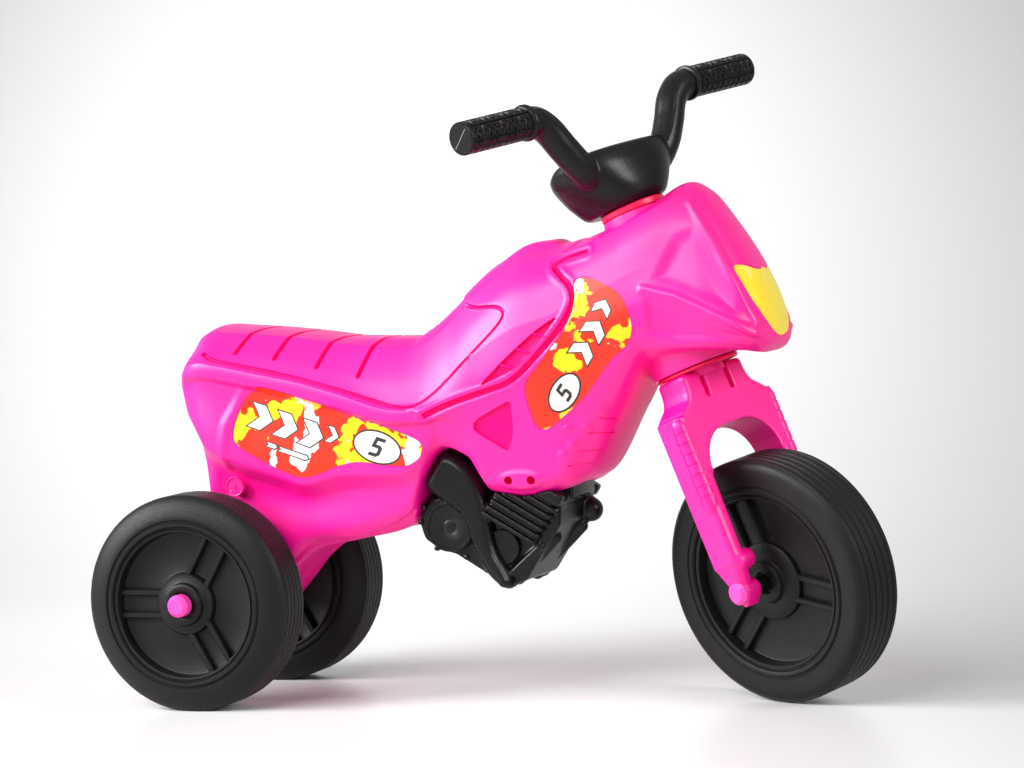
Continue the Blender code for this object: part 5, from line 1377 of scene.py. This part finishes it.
def grip(side):
    """One grip: rows of raised squares between two smooth seams, and a flange at its inner end."""
    length = BAR_END - GRIP_START
    along = np.linspace(0.0, length, GRIP_STEPS)
    angles = np.arange(GRIP_POINTS) * (2.0 * math.pi / GRIP_POINTS)
    band = np.abs((np.degrees(angles) - SEAM_DIRECTION + 90.0) % 180.0 - 90.0)
    on_seam = band < SEAM_HALF_ANGLE
    sector = (band - SEAM_HALF_ANGLE) / ROW_ANGLE
    across_gap = np.minimum(sector % 1.0, 1.0 - sector % 1.0) * math.radians(ROW_ANGLE) * GRIP_RADIUS
    rows = np.where(on_seam, 1.0, smooth_step(0.45, 0.95, across_gap))
    step = (along - 2.0) % GRIP_PITCH
    lines = smooth_step(0.5, 1.0, np.minimum(step, GRIP_PITCH - step))
    ends = (along < 1.2) | (along > length - 3.4)
    relief = np.where(on_seam[None, :], 1.0, np.minimum(rows[None, :], lines[:, None]))
    relief = np.where(ends[:, None], 1.0, relief)
    rounding = 1.2 * smooth_step(length - 1.6, length, along) ** 2
    radius = GRIP_RADIUS + GRIP_BLOCK_HEIGHT * relief - rounding[:, None]
    across = np.repeat(side * (GRIP_START + along)[:, None], GRIP_POINTS, axis=1)
    ring = np.stack([GRIP_AHEAD + radius * np.cos(angles), across,
                     BAR_BOTTOM + GRIP_RISE + radius * np.sin(angles)], axis=-1)
    flange = turned(FLANGE, (GRIP_AHEAD, side * GRIP_START, BAR_BOTTOM + GRIP_RISE), side)
    return combined([lofted(list(ring)), flange])


def grip_end(side):
    """The paler disc where the moulding was cut off, with its pinched seam."""
    disc = turned(TRIMMED_END, (GRIP_AHEAD, side * (BAR_END - 0.15), BAR_BOTTOM + GRIP_RISE), side)
    middle = np.array((GRIP_AHEAD, side * (BAR_END - 0.05), BAR_BOTTOM + GRIP_RISE))
    line = [middle + PARTING_DIRECTION * reach for reach in (-PINCH_HALF, 0.0, PINCH_HALF)]
    return combined([disc, sweep(line, 0.3, 8, up=(0.0, 1.0, 0.0))])


def make_handlebar():
    """The bar with its middle block, its grips and the trimmed discs at its ends."""
    block = lofted(block_rings())
    tubes = [sweep(bar_line(side), BAR_TUBE_RADIUS, 36) for side in (-1.0, 1.0)]
    skin = fused([block] + tubes, BAR_VOXEL, 7)
    ridge = sweep([(u, v, BAR_BOTTOM + 49.4) for u, v in BLOCK_RIDGE], 0.9, 8)
    whole = combined([skin, parting_ridge(-1.0), parting_ridge(1.0), ridge])
    place_mesh("bar_skin", *whole, STEERED, "steering", BLACK, ("handlebar",), "black_plastic")
    for side, word in ((-1.0, "right"), (1.0, "left")):
        place_mesh("grip_skin_" + word, *grip(side), STEERED, "steering", BLACK, slot="black_plastic")
        place_mesh("grip_end_" + word, *grip_end(side), STEERED, "steering", CUT_BLACK,
                   slot="black_plastic")


# Neck

# Pieces turned about the steering axis: name, profile of radius and height, material and replaced node
NECK_PIECES = (
    ("neck_tube", ((22.6, 322.0), (26.8, 322.0), (27.7, 321.5), (28.0, 320.4), (28.0, 300.0),
                   (28.6, 288.0), (30.0, 272.0), (22.6, 272.0)), PINK, None),
    ("lower_neck", ((22.6, 225.0), (38.0, 225.0), (38.0, 186.8), (36.8, 185.2), (22.6, 185.0)), PINK, None),
    ("upper_bush", ((21.5, 302.4), (24.0, 302.4), (24.0, 322.4), (26.8, 322.4), (27.8, 323.2),
                    (27.8, 327.0), (26.6, 328.2), (21.5, 328.2)), RED_PINK, "steering_bush_upper"),
    ("lower_bush", ((21.5, 204.4), (21.5, 181.4), (34.0, 181.4), (34.9, 182.2), (34.9, 184.0),
                    (34.0, 184.7), (24.0, 184.7), (24.0, 204.4)), RED_PINK, "steering_bush_lower"),
)


def neck_pieces():
    """The neck tube and the lower boss of the body, and the two bushes."""
    for name, profile, material, node in NECK_PIECES:
        points, faces = revolve(profile, 72)
        place_mesh(name, points[:, (2, 0, 1)], faces, NECK, "frame", material, (node,) if node else (),
                   "red_pink_plastic" if node else None)


# Wheels

WHEEL_SEGMENTS = 144
RIB_HEIGHT = 5.6
RIB_OFFSET = 9.75
# Half width of a rib at its foot, at its shoulder and at its top
RIB_WIDTHS = (3.2, 2.5, 1.7)
# Depth of a tread groove and its half width at the tread and at its floor
TREAD_GROOVE_DEPTH = 0.9
TREAD_GROOVE_HALF = 0.95
TREAD_FLOOR_HALF = 0.45
# Profiles of a wheel's side from its bore to its shoulder, as radius and distance from its middle
REAR_SIDE = ((5.6, 23.4), (11.2, 23.4), (11.2, 26.6), (11.6, 26.9), (16.6, 26.9), (17.5, 26.2), (18.3, 22.8),
             (19.0, 22.2), (25.0, 21.8), (26.2, 20.6), (27.0, 16.4), (28.0, 16.0), (59.5, 16.0), (60.6, 16.6),
             (61.4, 24.8), (62.0, 25.8), (63.6, 26.1), (64.2, 25.0), (65.4, 25.0), (66.2, 27.2), (67.0, 27.9),
             (69.0, 27.9), (69.8, 27.0), (70.4, 26.0), (71.4, 26.0), (72.2, 27.0), (73.4, 27.1), (76.0, 26.6),
             (80.0, 25.6), (84.0, 24.0), (87.5, 22.0), (90.0, 20.2))
FRONT_SIDE = ((5.6, 20.6), (8.6, 20.6), (9.2, 21.2), (9.6, 24.0), (16.0, 24.0), (17.0, 23.3),
              (17.8, 20.0), (18.6, 19.2), (31.0, 18.6), (32.2, 17.6), (33.0, 13.6), (34.0, 13.2),
              (67.6, 13.2), (68.8, 13.8), (69.8, 22.2), (70.4, 23.3), (72.4, 23.6), (73.0, 22.6),
              (74.2, 22.6), (75.0, 24.8), (75.8, 25.4), (78.2, 25.4), (79.0, 24.5), (79.6, 23.6),
              (80.6, 23.6), (81.4, 24.7), (88.0, 24.9), (93.5, 24.8), (96.8, 24.2), (99.0, 23.1),
              (100.4, 21.8))
REAR_WHEEL = {"side": REAR_SIDE, "radius": 92.4, "half": 18.5, "groove_pitch": 6.6, "hub": 26.0,
              "disc": 16.0, "reach": 61.0, "first_rib": 60.0}
FRONT_WHEEL = {"side": FRONT_SIDE, "radius": 102.5, "half": 20.7, "groove_pitch": 7.6, "hub": 32.0,
               "disc": 13.2, "reach": 69.4, "first_rib": 28.0}


def tread_points(radius, half, pitch):
    """The tread's profile from its left shoulder to its right one, with its grooves."""
    floor = radius - TREAD_GROOVE_DEPTH
    points = [(radius - 1.1, half - 0.1), (radius - 0.25, half - 0.9)]
    for index in range(2, -3, -1):
        place = pitch * index
        points += [(radius, place + TREAD_GROOVE_HALF), (floor, place + TREAD_FLOOR_HALF),
                   (floor, place - TREAD_FLOOR_HALF), (radius, place - TREAD_GROOVE_HALF)]
    return points + [(radius - 0.25, 0.9 - half), (radius - 1.1, 0.1 - half)]


def wheel_rib(wheel, offset):
    """A radial rib with sloped sides and a rounded top."""
    foot, shoulder, top = RIB_WIDTHS
    low = wheel["disc"] - 1.0
    high = wheel["disc"] + RIB_HEIGHT
    section = [(-foot, low), (-shoulder, high - 1.0), (-top, high - 0.2), (top, high - 0.2),
               (shoulder, high - 1.0), (foot, low)]
    ends = (wheel["hub"] - 3.0, wheel["reach"])
    return lofted([[(place, w, offset + z) for z, w in section] for place in ends])


def wheel_mesh(name, wheel, matrix, body, node):
    """A turned wheel with three pairs of ribs on each side of its disc."""
    side = list(wheel["side"])
    tread = tread_points(wheel["radius"], wheel["half"], wheel["groove_pitch"])
    shapes = [revolve(side + tread + [(r, -w) for r, w in reversed(side)], WHEEL_SEGMENTS)]
    for way in (-1.0, 1.0):
        for pair in range(3):
            turn = turn_about_y(math.radians(wheel["first_rib"] + 120.0 * pair))
            for offset in (-RIB_OFFSET, RIB_OFFSET):
                points, faces = wheel_rib(wheel, offset)
                shapes.append(((np.array(points) * (1.0, way, 1.0)) @ turn.T, faces))
    place_mesh(name, *combined(shapes), matrix, body, TYRE, (node,), "black_plastic")


def wheels():
    """The three wheels."""
    for word, hub in (("left", LEFT_HUB), ("right", RIGHT_HUB)):
        wheel_mesh("rear_wheel_skin_" + word, REAR_WHEEL, axes_matrix(hub, X_AXIS, Y_AXIS, Z_AXIS),
                   "rear_wheel_%s_body" % word, "rear_wheel_" + word)
    wheel_mesh("front_wheel_skin", FRONT_WHEEL, STEERED, "front_wheel_body", "front_wheel")


# Scene

CAMERA_AZIMUTH = math.radians(21.7686)
CAMERA_ELEVATION = math.radians(3.7224)
CAMERA_ROLL = math.radians(-2.5778)
CAMERA_PLACE = Vector((1291.9, -2572.8, 446.0))
FOCAL_PIXELS = 3300.0
IMAGE_WIDTH = 1024.0
SENSOR_WIDTH = 36.0
WORLD_STRENGTH = 0.16
WORLD_TINT = (0.95, 0.96, 1.0)
FLOOR_PALE = (0.86, 0.86, 0.86)
# The floor's colour away from the toy, painted shade
FLOOR_PAINTED_SHADE = (0.42, 0.42, 0.42)
WORLD_PALE = (0.8, 0.8, 0.8)
# The painted pool of light in the floor's pale middle, in axes turned to the camera
PAINTED_LIGHT_POOL_PLACE = (0.07, 0.0, -0.22)
PAINTED_LIGHT_POOL_SCALE = (0.9, 0.0, 0.9)
# The floor's near edge, its bend and its wall, in metres
FLOOR_NEAR = -3.0
FLOOR_HALF_WIDTH = 5.0
BEND_START = 0.6
BEND_RADIUS = 1.2
BEND_STEPS = 12
WALL_TOP = 4.0
# Lamps: name, place, target, size in metres and power in watts
LAMPS = (("left_key", (-2.5, -1.5, 1.5), (-0.05, 0.0, 0.25), (1.8, 1.5), 155.0),
         ("front_fill", (-0.6, -2.9, 2.4), (0.1, 0.0, 0.25), (2.2, 1.3), 75.0),
         ("front_rim", (2.5, -0.5, 1.4), (0.2, 0.0, 0.3), (0.9, 1.2), 42.0))


def make_camera():
    """Camera at the photograph's viewing angle."""
    back = Vector((math.sin(CAMERA_AZIMUTH) * math.cos(CAMERA_ELEVATION),
                   -math.cos(CAMERA_AZIMUTH) * math.cos(CAMERA_ELEVATION), math.sin(CAMERA_ELEVATION)))
    right = (-back).cross(Z_AXIS).normalized()
    up = right.cross(-back)
    turned_right = right * math.cos(CAMERA_ROLL) + up * math.sin(CAMERA_ROLL)
    turned_up = up * math.cos(CAMERA_ROLL) - right * math.sin(CAMERA_ROLL)
    place = Vector((REAR_MIDDLE.x, REAR_MIDDLE.y, 0.0)) + CAMERA_PLACE * MM
    matrix = Matrix.Identity(4)
    for column, axis in enumerate((turned_right, turned_up, back, place)):
        for row in range(3):
            matrix[row][column] = axis[row]
    camera = bpy.data.cameras.new("photo_camera")
    camera.sensor_width = SENSOR_WIDTH
    camera.lens = FOCAL_PIXELS * SENSOR_WIDTH / IMAGE_WIDTH
    camera.clip_end = 50.0
    obj = bpy.data.objects.new("photo_camera", camera)
    bpy.context.scene.collection.objects.link(obj)
    obj.matrix_world = matrix
    bpy.context.scene.camera = obj


def area_lamp(name, place, target, size, power):
    """A rectangular soft lamp aimed at a place."""
    lamp = bpy.data.lights.new(name, "AREA")
    lamp.shape = "RECTANGLE"
    lamp.size, lamp.size_y = size
    lamp.energy = power
    obj = bpy.data.objects.new(name, lamp)
    bpy.context.scene.collection.objects.link(obj)
    obj.location = place
    obj.rotation_euler = (Vector(target) - Vector(place)).to_track_quat("-Z", "Y").to_euler()


def pale_world():
    """A dim even world behind the lamps, which the camera and the glossy surfaces see as pale."""
    world = bpy.data.worlds.new("studio")
    bpy.context.scene.world = world
    world.use_nodes = True
    nodes = world.node_tree.nodes
    links = world.node_tree.links
    dim = nodes["Background"]
    dim.inputs["Color"].default_value = (*WORLD_TINT, 1.0)
    dim.inputs["Strength"].default_value = WORLD_STRENGTH
    pale = nodes.new("ShaderNodeBackground")
    pale.inputs["Color"].default_value = (*WORLD_PALE, 1.0)
    path = nodes.new("ShaderNodeLightPath")
    seen = path.outputs["Is Camera Ray"]
    for ray in ("Is Glossy Ray", "Is Transmission Ray"):
        either = nodes.new("ShaderNodeMath")
        either.operation = "MAXIMUM"
        links.new(seen, either.inputs[0])
        links.new(path.outputs[ray], either.inputs[1])
        seen = either.outputs["Value"]
    choice = nodes.new("ShaderNodeMixShader")
    links.new(seen, choice.inputs["Fac"])
    links.new(dim.outputs["Background"], choice.inputs[1])
    links.new(pale.outputs["Background"], choice.inputs[2])
    links.new(choice.outputs["Shader"], nodes["World Output"].inputs["Surface"])


def floor_material():
    """Pale and even round the toy with a painted pool of light, painted shade darker away from it across the
    camera's view, and clear from behind.
    """
    material = node_material("pale_floor", FLOOR_PALE, 0.35, specular=0.3)
    shader = material.node_tree.nodes["Principled BSDF"]
    place = add_node(material, "ShaderNodeTexCoord")
    turned_place = add_node(material, "ShaderNodeMapping")
    turned_place.inputs["Rotation"].default_value = (0.0, 0.0, -CAMERA_AZIMUTH)
    mapping = add_node(material, "ShaderNodeMapping")
    mapping.inputs["Location"].default_value = PAINTED_LIGHT_POOL_PLACE
    mapping.inputs["Scale"].default_value = PAINTED_LIGHT_POOL_SCALE
    ball = add_node(material, "ShaderNodeTexGradient", gradient_type="SPHERICAL")
    wire(material, place.outputs["Object"], turned_place.inputs["Vector"])
    wire(material, turned_place.outputs["Vector"], mapping.inputs["Vector"])
    wire(material, mapping.outputs["Vector"], ball.inputs["Vector"])
    # The pale middle is a painted pool of light, and the floor darkens to painted shade away from it
    reach = spread_value(material, ball.outputs["Fac"], 0.0, 1.0, 0.22, 0.8)
    wire(material, colour_mix(material, reach, FLOOR_PAINTED_SHADE, FLOOR_PALE), shader.inputs["Base Color"])
    side = add_node(material, "ShaderNodeNewGeometry")
    clear = add_node(material, "ShaderNodeBsdfTransparent")
    choice = add_node(material, "ShaderNodeMixShader")
    wire(material, side.outputs["Backfacing"], choice.inputs["Fac"])
    wire(material, shader.outputs["BSDF"], choice.inputs[1])
    wire(material, clear.outputs["BSDF"], choice.inputs[2])
    wire(material, choice.outputs["Shader"], material.node_tree.nodes["Material Output"].inputs["Surface"])
    return material


def make_floor():
    """A wide pale floor that curves up into a backdrop behind the toy."""
    rows = [(FLOOR_NEAR, 0.0), (BEND_START, 0.0)]
    for index in range(1, BEND_STEPS + 1):
        angle = math.pi / 2.0 * index / BEND_STEPS
        rows.append((BEND_START + BEND_RADIUS * math.sin(angle), BEND_RADIUS * (1.0 - math.cos(angle))))
    rows.append((BEND_START + BEND_RADIUS, WALL_TOP))
    verts = [(x, y, z) for y, z in rows for x in (-FLOOR_HALF_WIDTH, FLOOR_HALF_WIDTH)]
    faces = [(2 * i, 2 * i + 1, 2 * i + 3, 2 * i + 2) for i in range(len(rows) - 1)]
    mesh = bpy.data.meshes.new("studio_floor")
    mesh.from_pydata(verts, [], faces)
    mesh.polygons.foreach_set("use_smooth", [True] * len(mesh.polygons))
    mesh.materials.append(floor_material())
    obj = bpy.data.objects.new("studio_floor", mesh)
    bpy.context.scene.collection.objects.link(obj)


def paint_cad_nodes():
    """The CAD nodes that stay in view take the scene's own materials."""
    paints = {"pink_plastic": PINK, "red_pink_plastic": RED_PINK, "black_plastic": BLACK, "zinc_steel": STEEL}
    slots = {part["node"]: part["material_slot"] for part in frame["record"]["subparts"]}
    for name, obj in frame["nodes"].items():
        # The axle caps take the paler pink, a painted highlight in place of the light on their facets
        paint = PAINTED_HIGHLIGHT_PINK if "axle_cap" in name else paints.get(slots[name])
        if paint is not None:
            for slot in obj.material_slots:
                slot.material = paint


def build():
    """Everything in the scene."""
    make_camera()
    make_body()
    neck_pieces()
    make_engine()
    make_fork()
    make_handlebar()
    wheels()
    paint_cad_nodes()
    make_floor()
    pale_world()
    for lamp in LAMPS:
        area_lamp(*lamp)
    bpy.context.scene.view_settings.view_transform = "Standard"


build()
